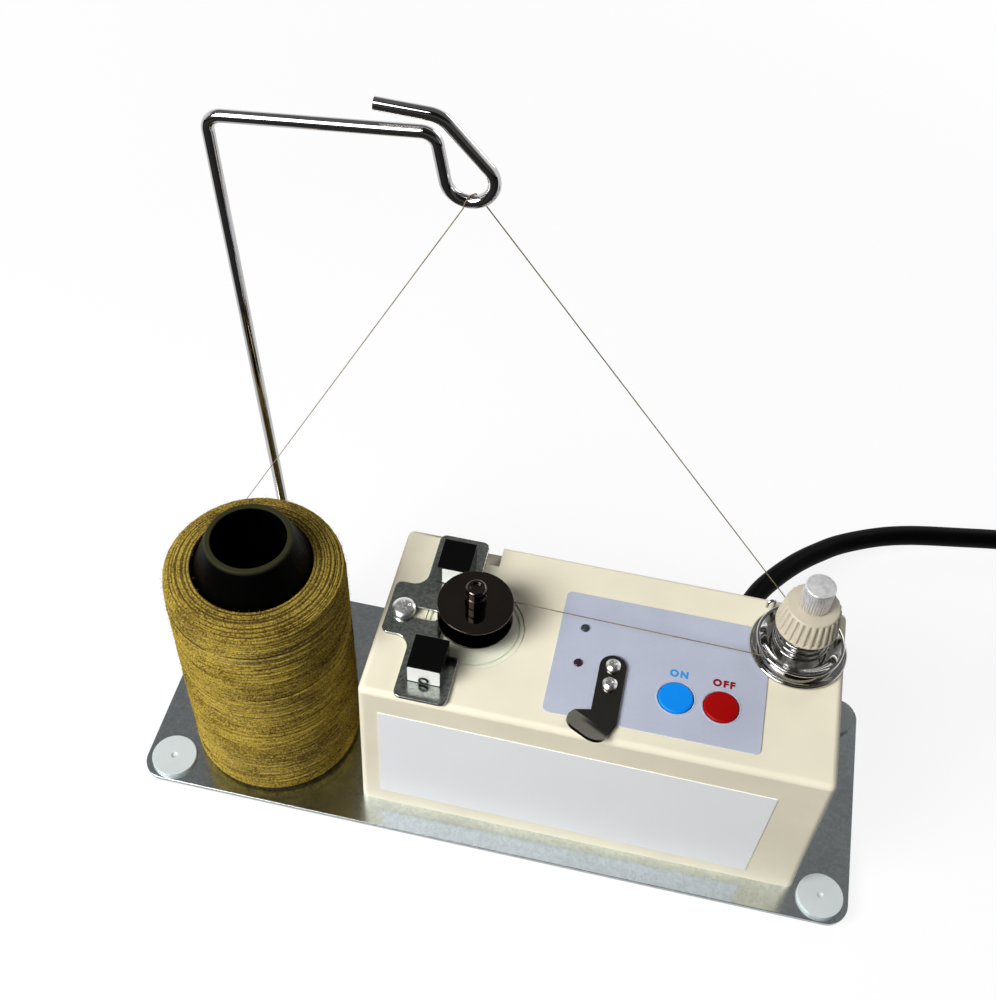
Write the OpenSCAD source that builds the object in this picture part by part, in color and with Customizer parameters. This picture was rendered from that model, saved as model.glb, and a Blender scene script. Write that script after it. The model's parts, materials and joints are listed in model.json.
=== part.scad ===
// Electric bobbin winder on a sheet-steel base plate. Millimetres, +Z up.
// The origin is on the surface it stands on, under the middle of the base plate.

/* [Base plate] */
// Length of the base plate, left to right
plate_l = 210; // [200:1:240]
// Width of the base plate, front to back
plate_w = 75; // [72:0.5:100]
// Thickness of the base plate
plate_t = 1.5; // [1:0.1:3]
// Corner radius of the base plate
plate_corner_r = 6.5; // [3:0.5:9]
// Height of the foot pads under the plate
foot_h = 3; // [2.6:0.1:6]
// Diameter of the foot pads under the plate
foot_pad_d = 12; // [8:0.5:13]
// Diameter of the foot heads on top of the plate
foot_head_d = 13.2; // [9:0.1:13.4]
// Height of the foot heads
foot_head_h = 1.4; // [0.8:0.1:2.5]
// Diameter of the stem that joins a foot's head and pad
foot_stem_d = 5; // [3:0.1:7]
// Foot centre from the plate's short edge
foot_inset_x = 8.3; // [7:0.1:12]
// Foot centre from the plate's long edge
foot_inset_y = 7.4; // [6.8:0.1:9]

/* [Housing] */
// Length of the housing at its top, left to right
housing_l = 125.6; // [120:0.2:135]
// Width of the housing, front to back
housing_w = 55.6; // [54:0.2:59]
// Height of the housing above the plate
housing_h = 60; // [56:0.5:80]
// Gap between the housing's right face and the plate's right edge
housing_inset_x = 17.1; // [4:0.1:20]
// Gap between the housing's back face and the plate's back edge
housing_inset_y = 11.1; // [8:0.1:14]
// Side wall thickness
wall = 2.5; // [1.6:0.1:3]
// Roof thickness
roof_t = 3; // [2.4:0.1:4]
// Radius of the housing's outer edges
housing_r = 2; // [1:0.5:4]
// How far each end leans out from its top to its foot
housing_draft = 1; // [0:0.1:1.5]
// Diameter of the corner screw bosses
boss_d = 7; // [6:0.2:8]
// Boss centre from the housing's outer faces
boss_inset = 6.2; // [5.6:0.1:7]
// Length of the wire notch in the back top edge
notch_l = 16; // [10:0.5:17]
// Depth of the wire notch, front to back
notch_w = 7.6; // [6:0.1:8]
// Height of the wire notch
notch_h = 5; // [4:0.1:6]
// Length of the label on the front face
label_l = 107.2; // [60:0.2:112]
// Height of the label
label_h = 43.6; // [20:0.2:46]
// Thickness of the label
label_t = 0.2; // [0.1:0.05:0.5]
// Label centre, left of the housing centre
label_shift = 4; // [0:0.1:5]
// Label centre above the plate
label_lift = 27.9; // [26:0.1:29]
// Tilt of the label as it was stuck on
label_tilt = 0.8; // [0:0.1:1.5]

/* [Control panel] */
// Length of the printed overlay
overlay_l = 57; // [54:0.2:60]
// Width of the printed overlay
overlay_w = 39.1; // [36:0.1:40]
// Thickness of the overlay
overlay_t = 0.3; // [0.15:0.05:0.5]
// Corner radius of the overlay
overlay_r = 1.5; // [0.5:0.5:4]
// Gap from the overlay to the housing's right face
overlay_inset_x = 20.1; // [18:0.1:23]
// Gap from the overlay to the housing's back face
overlay_inset_y = 11.4; // [9:0.1:12]
// Diameter of the two buttons
button_d = 9.4; // [7:0.1:10]
// Height of a button above the overlay
button_rise = 0.5; // [0.4:0.1:1.5]
// Travel of a button
button_travel = 0.7; // [0.3:0.1:0.8]
// Distance between the buttons
button_pitch = 12; // [11.5:0.1:13]
// Right button's centre from the overlay's right edge
button_inset_x = 11.3; // [10:0.1:13]
// Button centres from the overlay's front edge
button_inset_y = 11.8; // [10:0.1:13]
// Thickness of the flange that keeps a button in
button_flange_t = 1; // [0.6:0.1:1.5]
// Diameter of the indicator lamps
lamp_d = 2.4; // [2:0.1:3]
// Lamp centres from the overlay's left edge
lamp_inset_x = 6.8; // [6:0.1:8]
// Rear lamp's centre from the overlay's back edge
lamp_inset_y = 11.2; // [8:0.1:13]
// Distance between the lamps
lamp_pitch = 11.4; // [9:0.1:12]
// Height of the lamps above the overlay
lamp_rise = 0.4; // [0.2:0.1:1]
// Length of the circuit board
board_l = 54; // [52:0.5:56]
// Width of the circuit board
board_w = 36; // [35:0.5:38]
// Thickness of the circuit board
board_t = 1.6; // [1:0.1:2]
// Height of the posts that carry the circuit board
board_post_h = 6; // [5:0.2:8]

/* [Spindle and bobbin] */
// Diameter of the bobbin spindle
spindle_d = 5.6; // [5:0.1:6]
// Running clearance of the spindle, on the radius
spindle_clear = 0.08; // [0.02:0.01:0.1]
// Spindle axis from the housing's left face
spindle_inset_x = 25.8; // [25:0.1:28]
// Spindle axis from the housing's back face
spindle_inset_y = 28.9; // [28:0.1:30]
// Height of the spindle top above the roof
spindle_rise = 18.2; // [15:0.1:24]
// Height of the bobbin's seat above the roof
seat_rise = 4.2; // [3:0.1:5]
// Diameter of the bobbin's seat
seat_d = 13; // [10:0.2:16]
// Thickness of the bobbin's seat
seat_t = 1.4; // [1:0.1:1.8]
// Diameter of the bobbin
bobbin_d = 20.5; // [19:0.1:21]
// Height of the bobbin
bobbin_h = 7.2; // [6.4:0.1:9]
// Thickness of the bobbin's flanges
bobbin_flange_t = 0.6; // [0.4:0.05:0.8]
// Diameter of the bobbin's hub
bobbin_hub_d = 8; // [7:0.1:9]
// Diameter of the bush disc let into the roof
bush_d = 27; // [20:0.2:28]
// Thickness of the bush disc
bush_t = 1.3; // [0.8:0.1:1.4]
// Depth of the recess for the bush disc
bush_recess = 1.5; // [1.5:0.1:1.8]
// Diameter of the bush hub through the roof
bush_hub_d = 11.6; // [9:0.1:14]
// Diameter of the motor
motor_d = 30; // [24:0.5:32]
// Length of the motor
motor_h = 36; // [28:0.5:37]
// Thickness of the motor plate
motor_plate_t = 1.5; // [1:0.1:2]
// Height of the posts that carry the motor plate
motor_post_h = 8; // [7.5:0.2:9]

/* [Full-bobbin sensor] */
// Thickness of the sensor bracket
bracket_t = 1; // [0.6:0.1:1.4]
// Length of the bracket, front to back
bracket_l = 54.8; // [52:0.2:55]
// Width of the bracket's arms
arm_w = 14.4; // [13:0.2:16]
// Gap from the arms' right edge to the spindle axis
arm_gap = 1.7; // [1:0.1:2.5]
// Width of the bracket's spine
spine_w = 8; // [7.5:0.1:9]
// Clear opening between the two arms
arm_opening = 23; // [22:0.2:24]
// Width of the tab that takes the screw
tab_w = 17.4; // [14:0.2:20]
// Reach of the tab past the arms
tab_reach = 8.2; // [7:0.1:9]
// Bracket middle behind the spindle axis
bracket_shift = 0.6; // [0:0.1:0.8]
// Travel of the bracket along its slot
bracket_travel = 8; // [2:0.5:8]
// Slot width
slot_w = 3.4; // [3.3:0.1:4]
// Diameter of the screw in the slot
bracket_screw_d = 3; // [2.5:0.1:3]
// Width of a sensor block
sensor_w = 9.2; // [8:0.1:11]
// Depth of a sensor block, front to back
sensor_l = 10.2; // [7:0.1:10.6]
// Height of a sensor block
sensor_h = 6.9; // [5:0.1:8]
// Clear distance between the two sensor blocks
sensor_gap = 22.6; // [22:0.1:24]
// Diameter of the sensor windows
window_d = 3; // [2:0.1:4]
// Sliding clearance of the bracket
bracket_clear = 0.1; // [0.05:0.05:0.3]

/* [Thread cutter] */
// Width of the cutter strip
cutter_w = 7.2; // [6:0.1:9]
// Length of the cutter strip
cutter_l = 20.7; // [17:0.1:24]
// Thickness of the cutter strip
cutter_t = 0.9; // [0.5:0.1:1.2]
// Cutter centre from the overlay's left edge
cutter_inset = 16.1; // [14:0.1:17]
// Rear end of the strip from the housing's front face
cutter_reach = 25.5; // [24:0.1:28]
// Length of the lip at the front of the cutter
lip_l = 11.6; // [9:0.1:13]
// Depth of the lip
lip_w = 4.4; // [3:0.1:5]
// Angle of the lip across the strip
lip_skew = 27; // [20:1:32]
// Upward bend of the lip
lip_bend = 24; // [10:1:40]
// Distance between the cutter's screws
cutter_screw_pitch = 5.8; // [5:0.1:8]

/* [Thread tension] */
// Tension axis from the housing's right face
tension_inset_x = 13.1; // [13:0.1:15]
// Tension axis from the housing's back face
tension_inset_y = 15.6; // [14:0.1:17]
// Diameter of the tension stud
stud_d = 5; // [4:0.1:5.5]
// Clearance of what sits or turns on the stud, on the radius
stud_clear = 0.1; // [0.05:0.05:0.2]
// Diameter of the stud's base flange
stud_flange_d = 10; // [8:0.2:12]
// Height of the stud's base flange
stud_flange_h = 1.2; // [1.1:0.1:2]
// Diameter of the lower tension disc
lower_disc_d = 26.6; // [24:0.2:27]
// Diameter of the upper tension disc
upper_disc_d = 23.8; // [20:0.2:24]
// Sheet thickness of the tension discs
disc_t = 0.7; // [0.5:0.1:0.9]
// Room for the thread between the discs
thread_gap = 0.8; // [0.7:0.1:1.2]
// Wire diameter of the tension spring
spring_wire_d = 0.9; // [0.6:0.1:1]
// Outer diameter of the spring at its foot
spring_foot_d = 16; // [13:0.2:16.4]
// Outer diameter of the spring at its head
spring_head_d = 12; // [10:0.2:13]
// Number of spring curls
spring_curls = 4; // [3:1:5]
// Height of the spring as set
spring_h = 8; // [7.5:0.1:10]
// Thickness of the washer on the spring
washer_t = 0.8; // [0.5:0.1:1.2]
// Diameter of the washer on the spring
washer_d = 14; // [13:0.2:15]
// Diameter of the ribbed knob at its foot
knob_foot_d = 16.8; // [15:0.2:18]
// Diameter of the ribbed knob at its top
knob_top_d = 14.8; // [13:0.2:16]
// Height of the ribbed knob
knob_h = 8.7; // [7:0.1:12]
// Number of ribs round the knob
knob_ribs = 26; // [18:1:30]
// Diameter of the knurled cap
cap_d = 8; // [7:0.1:10]
// Height of the knurled cap
cap_h = 8; // [7:0.1:12]
// Number of knurls round the cap
cap_knurls = 40; // [24:1:48]
// Wire diameter of the thread hook
hook_wire_d = 0.9; // [0.6:0.1:1.2]
// Height of the thread hook
hook_h = 3; // [2.5:0.1:4]

/* [Thread stand] */
// Wire diameter of the stand
stand_d = 3; // [2:0.1:3.4]
// Stand foot from the plate's left edge
stand_inset_x = 29.3; // [26:0.1:34]
// Stand foot from the plate's back edge
stand_inset_y = 7.5; // [6:0.1:8]
// Height of the straight upright, from its first bend
upright_l = 168; // [120:1:200]
// Length of the straight arm
arm_l = 45; // [30:0.5:60]
// Bend radius of the eye
eye_r = 5.6; // [4.5:0.1:7]
// Height of a stand nut
stand_nut_h = 2.4; // [1.6:0.1:2.4]

/* [Thread cone] */
// Cone axis from the plate's left edge
cone_inset_x = 34.9; // [31:0.1:38]
// Cone axis in front of the plate's middle
cone_shift_y = 10.2; // [2:0.1:11]
// Height of the tube
tube_h = 91; // [84:0.2:116]
// Outer diameter of the tube at its top
tube_top_d = 22.5; // [20:0.1:26]
// Outer diameter of the tube where its nose begins
tube_nose_d = 30.6; // [28:0.1:33]
// Outer diameter of the tube at its foot
tube_foot_d = 33; // [30:0.2:36]
// Height of the tube's nose
tube_nose_h = 9.9; // [8:0.1:14]
// Wall thickness of the tube
tube_wall = 1.85; // [1:0.05:2.5]
// Diameter of the thread package at its foot
pack_foot_d = 49.6; // [46:0.2:51]
// Diameter of the thread package at its shoulder
pack_top_d = 48.2; // [42:0.2:50]
// Height of the rounded shoulder
shoulder_h = 4; // [3:0.2:6]
// Number of loops in the outer layer
wind_loops = 23; // [8:1:24]
// Thickness of one loop
wind_d = 2.5; // [1.5:0.1:2.5]
// Diameter of the peg inside the tube
peg_d = 20; // [12:0.5:24]
// Height of the peg inside the tube
peg_h = 50; // [20:1:55]

/* [Thread and power cord] */
// Diameter of the sewing thread
thread_d = 0.4; // [0.3:0.05:0.5]
// Diameter of the power cord
cord_d = 6.8; // [5:0.1:7]
// Diameter of the gland's flange
gland_flange_d = 14; // [12:0.2:16]
// Length of the tapered strain relief
relief_l = 20; // [20:0.5:24]
// Gland centre above the plate
gland_lift = 9; // [8:0.1:12]
// Turns of the coil that spiral in, and as many that spiral out
coil_turns = 3; // [2:1:3]
// Length of the plug body
plug_l = 34; // [28:0.5:40]
// Width of the plug body
plug_w = 24; // [20:0.5:28]
// Thickness of the plug body
plug_t = 14; // [10:0.5:14]

/* [Hidden] */
$fn = 48;

// Levels
deck = foot_h + plate_t;
top = deck + housing_h;
roof = top - roof_t;
film = top + overlay_t;

// General clearances
fit = 0.05;
slack = 0.15;
seat_clear = 0.3;
cut = 1;

// Screws, by thread: shank, head diameter and head height
m3 = [3, 5.6, 1.9];
m2 = [2, 4, 1.5];
tap_l = 9;
spare = 1;

// Foot centres
foot_x = plate_l / 2 - foot_inset_x;
foot_y = plate_w / 2 - foot_inset_y;

// Housing faces
right = plate_l / 2 - housing_inset_x;
left = right - housing_l;
back = plate_w / 2 - housing_inset_y;
front = back - housing_w;
mid_x = (left + right) / 2;
boss_x = [left + boss_inset, right - boss_inset];
boss_y = [front + boss_inset, back - boss_inset];

// Control panel
overlay_x1 = right - overlay_inset_x;
overlay_x0 = overlay_x1 - overlay_l;
overlay_y1 = back - overlay_inset_y;
overlay_y0 = overlay_y1 - overlay_w;
panel = [(overlay_x0 + overlay_x1) / 2, (overlay_y0 + overlay_y1) / 2];
stop_at = [overlay_x1 - button_inset_x, overlay_y0 + button_inset_y];
start_at = stop_at - [button_pitch, 0];
lamp_at = [overlay_x0 + lamp_inset_x, overlay_y1 - lamp_inset_y];
board_top = roof - board_post_h;
board_post_d = 6;
board_post_inset = 3.4;
board_posts = [for (sx = [-1, 1], sy = [-1, 1])
    panel + [sx * (board_l / 2 - board_post_inset), sy * (board_w / 2 - board_post_inset)]];
button_foot = roof - button_flange_t;
button_lip = 0.8;
switch_w = 6;
switch_stem_d = 3.4;
switch_stem_h = 0.6;

// Spindle, bobbin and motor
axis = [left + spindle_inset_x, back - spindle_inset_y];
seat = top + seat_rise;
bobbin_bore_d = spindle_d + 2 * fit;
motor_plate_l = 40;
motor_plate_w = 32;
motor_post_d = 6.4;
motor_post_inset = 3.6;
motor_posts = [for (sx = [-1, 1], sy = [-1, 1])
    axis + [sx * (motor_plate_l / 2 - motor_post_inset), sy * (motor_plate_w / 2 - motor_post_inset)]];
motor_plate_top = roof - motor_post_h;
motor_top = motor_plate_top - motor_plate_t;
motor_nose_d = 12;
motor_screw_pcd = 22;
motor_tap_l = 5;
shaft_depth = 20;
bush_hub_drop = 1.5;
tip_chamfer = 0.5;
tip_dimple = 0.8;
groove_drop = 3.4;
groove_w = 0.8;
groove_depth = 0.35;

// Sensor bracket, at the end of its travel nearest to the spindle
bracket_z = top + bracket_clear;
bracket_top = bracket_z + bracket_t;
arm_x1 = axis[0] - arm_gap;
arm_x0 = arm_x1 - arm_w;
tab_x0 = arm_x0 - tab_reach;
slot_inset = 4.5;
slot_x0 = tab_x0 + slot_inset;
sensor_x = (arm_x0 + arm_x1) / 2;
bracket_boss_h = 7;
bracket_corner_r = 2;
bracket_fillet_r = 4;
window_depth = 1.5;
window_t = 1.3;
window_level = 0.7 * sensor_h;

// Wire notch, under the bracket's rear arm
notch_shift = 2.2;
notch_x1 = axis[0] + notch_shift;
notch_x0 = notch_x1 - notch_l;
notch_wall = 2;

// Cutter
cutter_x = overlay_x0 + cutter_inset;
cutter_y1 = front + cutter_reach;
lip_root = 1.8;
lip_neck = 3;
cutter_screw_y = [cutter_y1 - cutter_w / 2, cutter_y1 - cutter_w / 2 - cutter_screw_pitch];

// Tension stack, heights above the roof
tension = [right - tension_inset_x, back - tension_inset_y];
stud_bore_d = stud_d + 2 * stud_clear;
disc_flat_d = 17;
lower_rim_drop = 0.6;
upper_rim_rise = 1.5;
rim_wire_d = 1;
lower_disc_z = top + stud_flange_h;
upper_disc_z = lower_disc_z + disc_t + thread_gap;
spring_z = upper_disc_z + disc_t;
washer_z = spring_z + spring_h;
knob_z = washer_z + washer_t + bracket_clear;
cap_z = knob_z + knob_h + seat_clear;
cap_hole_h = 5;
stud_nut_h = 3;
nut_corner = 2 / sqrt(3);
wire_sides = 12;
wire_arc = 15;
knob_groove_r = 0.42;
hook_clear = 0.4;
hook_place = 122;
hook_r = lower_disc_d / 2 + hook_wire_d / 2 + hook_clear;
hook_at = tension + hook_r * [cos(hook_place), sin(hook_place)];
hook_turn = 30;
hook_bend_r = 1.1;
hook_tail = 1.2;

// Thread stand
stand_at = [stand_inset_x - plate_l / 2, plate_w / 2 - stand_inset_y];
stand_tail = 0.4;
stand_foot_l = 14;
stand_lean = 2.4;
lean_bend_r = 40;
corner_bend_r = 4;
drop_bend_r = 3.5;
drop_l = 8.9;
eye_side_l = 13;
tail_bend_r = 6;
tail_l = 12;
// The eye's middle from the end of the straight arm
eye_hang = [14.5, 0, 9.3];
// Straight length, turn in degrees and bend radius of each step along the wire
stand_steps = [
    [deck - stand_tail + stand_foot_l, stand_lean, lean_bend_r],
    [upright_l, -87, corner_bend_r],
    [arm_l, -84.8, drop_bend_r],
    [drop_l, 212.3, eye_r],
    [eye_side_l, 45.2, tail_bend_r],
    [tail_l, 0, 0]
];

// Thread cone
cone = [cone_inset_x - plate_l / 2, -cone_shift_y];
pack_foot = 1;
pack_top = tube_h - tube_nose_h;
shoulder_z = pack_top - shoulder_h;
loop_sides = 6;
loop_rings = 24;
curl_rings = 8;
wind_room = 0.35;
pack_step = 0.5;
wind_z0 = deck + pack_foot + wind_d / 2 + wind_room;
wind_z1 = deck + shoulder_z - wind_d / 2 - wind_room;
peg_flange_d = 26;
peg_flange_h = 3;

// Transformer under the circuit board
core_l = 40;
core_w = 16;
core_h = 33;
winding_l = 24;
winding_w = 28;
winding_h = 20;
lug_l = 8;
lug_t = 2;
lug_x = core_l / 2 + lug_l / 2;
core_shift = 4;
core_at = [panel[0] + core_shift, panel[1]];

// Gland in the back wall
gland_x = 65;
gland_z = deck + gland_lift;
gland_flange_t = 2;
gland_hole_d = 10;
relief_lip = 0.8;
relief_tip_d = cord_d + relief_lip;
relief_root_d = 10;
relief_end = back + gland_flange_t + relief_l;

// Coil of cord, two layers
cord_r = cord_d / 2;
cord_sides = 10;
tie_w = 8;
tie_t = 0.8;
tie_clear = 0.25;
tie_room = 0.8;
coil_at = [204, 73];
coil_r = 46;
coil_gap = 0.6;
coil_step = cord_d + coil_gap;
coil_z = cord_r + tie_clear + tie_t + fit;
coil_start = [coil_at[0] - cord_d, coil_at[1] + coil_r, coil_z];
coil_end = [coil_at[0] + cord_d, coil_at[1] + coil_r, coil_z + coil_step];

// Cord route from the strain relief to the coil
cord_points = [
    [gland_x, relief_end, gland_z], [gland_x, relief_end + 2, gland_z], [65.6, 56, 13.4],
    [67.3, 62, 13.2], [70.2, 68.2, 13], [74.6, 74.8, 12.6], [78.4, 79.8, 12.1], [82.5, 84.6, 11.5],
    [88, 90, 10.7], [95.6, 96.3, 9.8], [107.9, 103.3, 8.7], [120.4, 108, 7.8], [137.1, 111.8, 7],
    [149, 114.3, 6.5], [160, 116.2, 5.9], [172, 117.9, 5.2], [182, 118.8, 4.7],
    coil_start - [7, 0, 0], coil_start
];
// Cord route from the coil to the plug
tail_points = [
    coil_end, coil_end + [8, 0, 0], [230, 118, 10.4], [241, 114.7, 8.2], [251.3, 111, 7], [253.2, 110.3, 7]
];
plug_at = tail_points[len(tail_points) - 1];
plug_turn = -20;

// Sewing thread from the cone, over the eye, through the discs and to the bobbin
arm_dir = 90 + stand_lean + stand_steps[1][1];
on_cone = [cone[0], cone[1], deck + shoulder_z];
on_eye = [stand_at[0] - upright_l * sin(stand_lean) + arm_l * cos(arm_dir), stand_at[1],
    deck + upright_l * cos(stand_lean) + arm_l * sin(arm_dir) - eye_r] + eye_hang;
on_disc = [tension[0], tension[1], lower_disc_z + disc_t];
on_bobbin = [axis[0], axis[1], seat + bobbin_h / 2];
lead_r = pack_top_d / 2 + thread_d + fit;
lead_off = 114;
lead_drop = 0.2;
lead_climb = 0.08;
lead_in = [for (a = [lead_off - 30:10:lead_off])
    on_cone + [lead_r * cos(a), lead_r * sin(a), -lead_drop - lead_climb * (lead_off - a)]];
thread_points = concat(lead_in, [
    on_eye + [-0.9, -1.9, -0.7], on_eye + [-0.5, -1.6, 0.9], on_eye + [0.2, -0.4, 1.9],
    on_eye + [1.2, 1.2, 1.5], on_eye + [2.2, 1.9, -0.1],
    on_disc + [-3.3, 12.6, 0.9], on_disc + [-1.8, 9.5, 0.5], on_disc + [1, 4.7, 0.4],
    on_disc + [3.8, 0.6, 0.4], on_disc + [2.8, -2.8, 0.4], on_disc + [-0.2, -4.2, 0.4],
    on_disc + [-8.8, -5.8, 0.4], on_bobbin + [-0.1, 5.1, 0]
]);
thread_up = [0.9, 0, 0.45];
thread_sides = 6;

// Helpers: a tube of flat sides swept along a list of points

function unit(v) = v / norm(v);

function heading(p, i) =
    unit((i > 0 ? unit(p[i] - p[i - 1]) : [0, 0, 0])
       + (i < len(p) - 1 ? unit(p[i + 1] - p[i]) : [0, 0, 0]));

function ring(p, i, r, sides, up) =
    let (t = heading(p, i), u = unit(cross(t, up)), v = cross(u, t))
    [for (k = [0:sides - 1]) p[i] + r * (cos(360 * k / sides) * u + sin(360 * k / sides) * v)];

module sweep(path, d, sides, up = [0, 0, 1]) {
    n = len(path);
    points = [for (i = [0:n - 1]) each ring(path, i, d / 2, sides, up)];
    near = [for (k = [1:sides - 2]) [0, k + 1, k]];
    far = [for (k = [1:sides - 2]) (n - 1) * sides * [1, 1, 1] + [0, k, k + 1]];
    skin = [for (i = [0:n - 2], k = [0:sides - 1])
        let (a = i * sides + k, b = i * sides + (k + 1) % sides)
        each [[a, b, b + sides], [a, b + sides, a + sides]]];
    polyhedron(points, concat(near, skin, far));
}

// Adds a straight stretch of one tube diameter at each end of a wound path
function with_ends(p, d) =
    let (n = len(p))
    concat([p[0] + d * unit(p[0] - p[1])], p, [p[n - 1] + d * unit(p[n - 1] - p[n - 2])]);

// Least distance between the skins of turns that lie beside each other
function least_gap(p, rings, d) =
    min([for (i = [0:len(p) - 1], j = [i + rings / 2:len(p) - 1]) norm(p[i] - p[j])]) - d;

// Points along a wire bent in one plane: straight length, turn and bend radius for each step
function wire_path(steps, i = 0, at = [0, 0], dir = 90) =
    i == len(steps) ? [at] :
    let (
        turn = steps[i][1],
        r = turn < 0 ? -steps[i][2] : steps[i][2],
        p = at + steps[i][0] * [cos(dir), sin(dir)],
        hub = p + r * [-sin(dir), cos(dir)],
        n = ceil(abs(turn) / wire_arc),
        bend = [for (k = [0:n]) let (a = dir + turn * k / max(n, 1)) hub + r * [sin(a), -cos(a)]]
    )
    concat([at], [for (k = [0:1:n - 1]) bend[k]], wire_path(steps, i + 1, bend[n], dir + turn));

// A round wire in its XZ plane
module bent_wire(steps, d) {
    sweep([for (p = wire_path(steps)) [p[0], 0, p[1]]], d, wire_sides, [0, 1, 0]);
}

// Rounded rectangle, centred
module round_rect(l, w, r) {
    square([l, w - 2 * r], center = true);
    square([l - 2 * r, w], center = true);
    for (sx = [-1, 1], sy = [-1, 1])
        translate([sx * (l / 2 - r), sy * (w / 2 - r)])
            circle(r);
}

// Cross-recessed pan-head screw; its head's underside is at zero and its shank points down
module pan_screw(size, shank_l) {
    d = size[1];
    h = size[2];
    slot = [d * 0.55, d * 0.14, h];
    difference() {
        union() {
            cylinder(d = d, h = h * 0.55);
            translate([0, 0, h * 0.55])
                cylinder(d1 = d, d2 = d * 0.62, h = h * 0.45);
            translate([0, 0, -shank_l])
                cylinder(d = size[0], h = shank_l);
        }
        for (turn = [0, 90])
            rotate(turn)
                translate([-slot[0] / 2, -slot[1] / 2, h * 0.5])
                    cube(slot);
    }
}

// Hexagonal nut with a plain bore
module hex_nut(across, h, bore) {
    difference() {
        cylinder(d = across * nut_corner, h = h, $fn = 6);
        translate([0, 0, -cut])
            cylinder(d = bore, h = h + 2 * cut);
    }
}

module at_each(places) {
    for (p = places)
        translate([p[0], p[1], 0])
            children();
}

module at_corners(xs, ys) {
    for (x = xs, y = ys)
        translate([x, y, 0])
            children();
}

module hole(d, z0, z1) {
    translate([0, 0, z0])
        cylinder(d = d, h = z1 - z0);
}

// Base

module base_plate() {
    color("slategray")
    difference() {
        translate([0, 0, foot_h])
            linear_extrude(plate_t)
                round_rect(plate_l, plate_w, plate_corner_r);
        at_corners([-foot_x, foot_x], [-foot_y, foot_y])
            hole(foot_stem_d + 2 * fit, 0, deck + cut);
        at_corners(boss_x, boss_y)
            hole(m3[0] + 2 * slack, 0, deck + cut);
        at_each([for (s = [-1, 1]) core_at + [s * lug_x, 0]])
            hole(m3[0] + 2 * slack, 0, deck + cut);
        at_each([cone])
            hole(m3[0] + 2 * slack, 0, deck + cut);
        at_each([stand_at])
            hole(stand_d + 2 * fit, 0, deck + cut);
    }
}

module corner_feet() {
    dimple_d = foot_head_d * 0.18;
    color("gainsboro")
    at_corners([-foot_x, foot_x], [-foot_y, foot_y])
        difference() {
            union() {
                cylinder(d = foot_pad_d, h = foot_h);
                cylinder(d = foot_stem_d, h = deck);
                hole(foot_head_d, deck, deck + foot_head_h);
            }
            translate([0, 0, deck + foot_head_h + dimple_d * 0.3])
                sphere(d = dimple_d);
        }
}

// Housing

module housing_body() {
    hull()
        for (sx = [-1, 1], y = [front + housing_r, back - housing_r])
            translate([mid_x + sx * (housing_l / 2 - housing_r), y, 0]) {
                translate([sx * housing_draft, 0, deck])
                    cylinder(r = housing_r, h = 1, $fn = 32);
                translate([0, 0, top - housing_r])
                    sphere(r = housing_r, $fn = 32);
            }
}

module housing_posts() {
    at_corners(boss_x, boss_y)
        hole(boss_d, deck, roof + cut);
    at_each(motor_posts)
        hole(motor_post_d, motor_plate_top, roof + cut);
    at_each(board_posts)
        hole(board_post_d, board_top, roof + cut);
    translate([slot_x0, axis[1], 0])
        hole(boss_d, roof - bracket_boss_h, roof + cut);
    translate([notch_x0 - notch_wall, back - wall - notch_w, roof - notch_h])
        cube([notch_l + 2 * notch_wall, notch_w + wall / 2, notch_h + cut]);
}

module housing_shell() {
    color("antiquewhite")
    difference() {
        union() {
            difference() {
                housing_body();
                translate([left + wall, front + wall, deck - cut])
                    cube([housing_l - 2 * wall, housing_w - 2 * wall, housing_h - roof_t + cut]);
            }
            housing_posts();
        }
        at_corners(boss_x, boss_y)
            hole(m3[0] + 2 * fit, deck - cut, deck + tap_l + spare);
        at_each(motor_posts)
            hole(m2[0] + 2 * fit, motor_plate_top - cut, roof);
        at_each(board_posts)
            hole(m2[0] + 2 * fit, board_top - cut, roof);
        translate([axis[0], axis[1], 0]) {
            hole(bush_d + 2 * slack, top - bush_recess, top + cut);
            hole(bush_hub_d + 2 * fit, roof - cut, top);
        }
        translate([slot_x0, axis[1], 0])
            hole(bracket_screw_d + 2 * fit, roof - bracket_boss_h - cut, top + cut);
        at_each([start_at, stop_at])
            hole(button_d + 2 * slack, roof - cut, top + cut);
        at_each([lamp_at, lamp_at - [0, lamp_pitch]])
            hole(lamp_d + 2 * fit, roof - cut, top + cut);
        at_each([for (y = cutter_screw_y) [cutter_x, y]])
            hole(m2[0] + 2 * fit, roof - cut, top + cut);
        at_each([tension])
            hole(stud_d + 2 * fit, roof - cut, top + cut);
        at_each([hook_at])
            hole(hook_wire_d + 2 * fit, top - roof_t / 2, top + cut);
        translate([notch_x0, back - notch_w, top - notch_h])
            cube([notch_l, notch_w + cut, notch_h + cut]);
        translate([gland_x, back - wall - cut, gland_z])
            rotate([-90, 0, 0])
                cylinder(d = gland_hole_d + 2 * fit, h = wall + 2 * cut);
    }
}

module housing_screws() {
    color("silver")
    at_corners(boss_x, boss_y)
        translate([0, 0, foot_h])
            rotate([180, 0, 0])
                pan_screw(m3, plate_t + tap_l);
}

module front_label() {
    color("white")
    translate([mid_x - label_shift, front, deck + label_lift])
        rotate([90, label_tilt, 0])
            linear_extrude(label_t)
                square([label_l, label_h], center = true);
}

// Control panel

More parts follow.
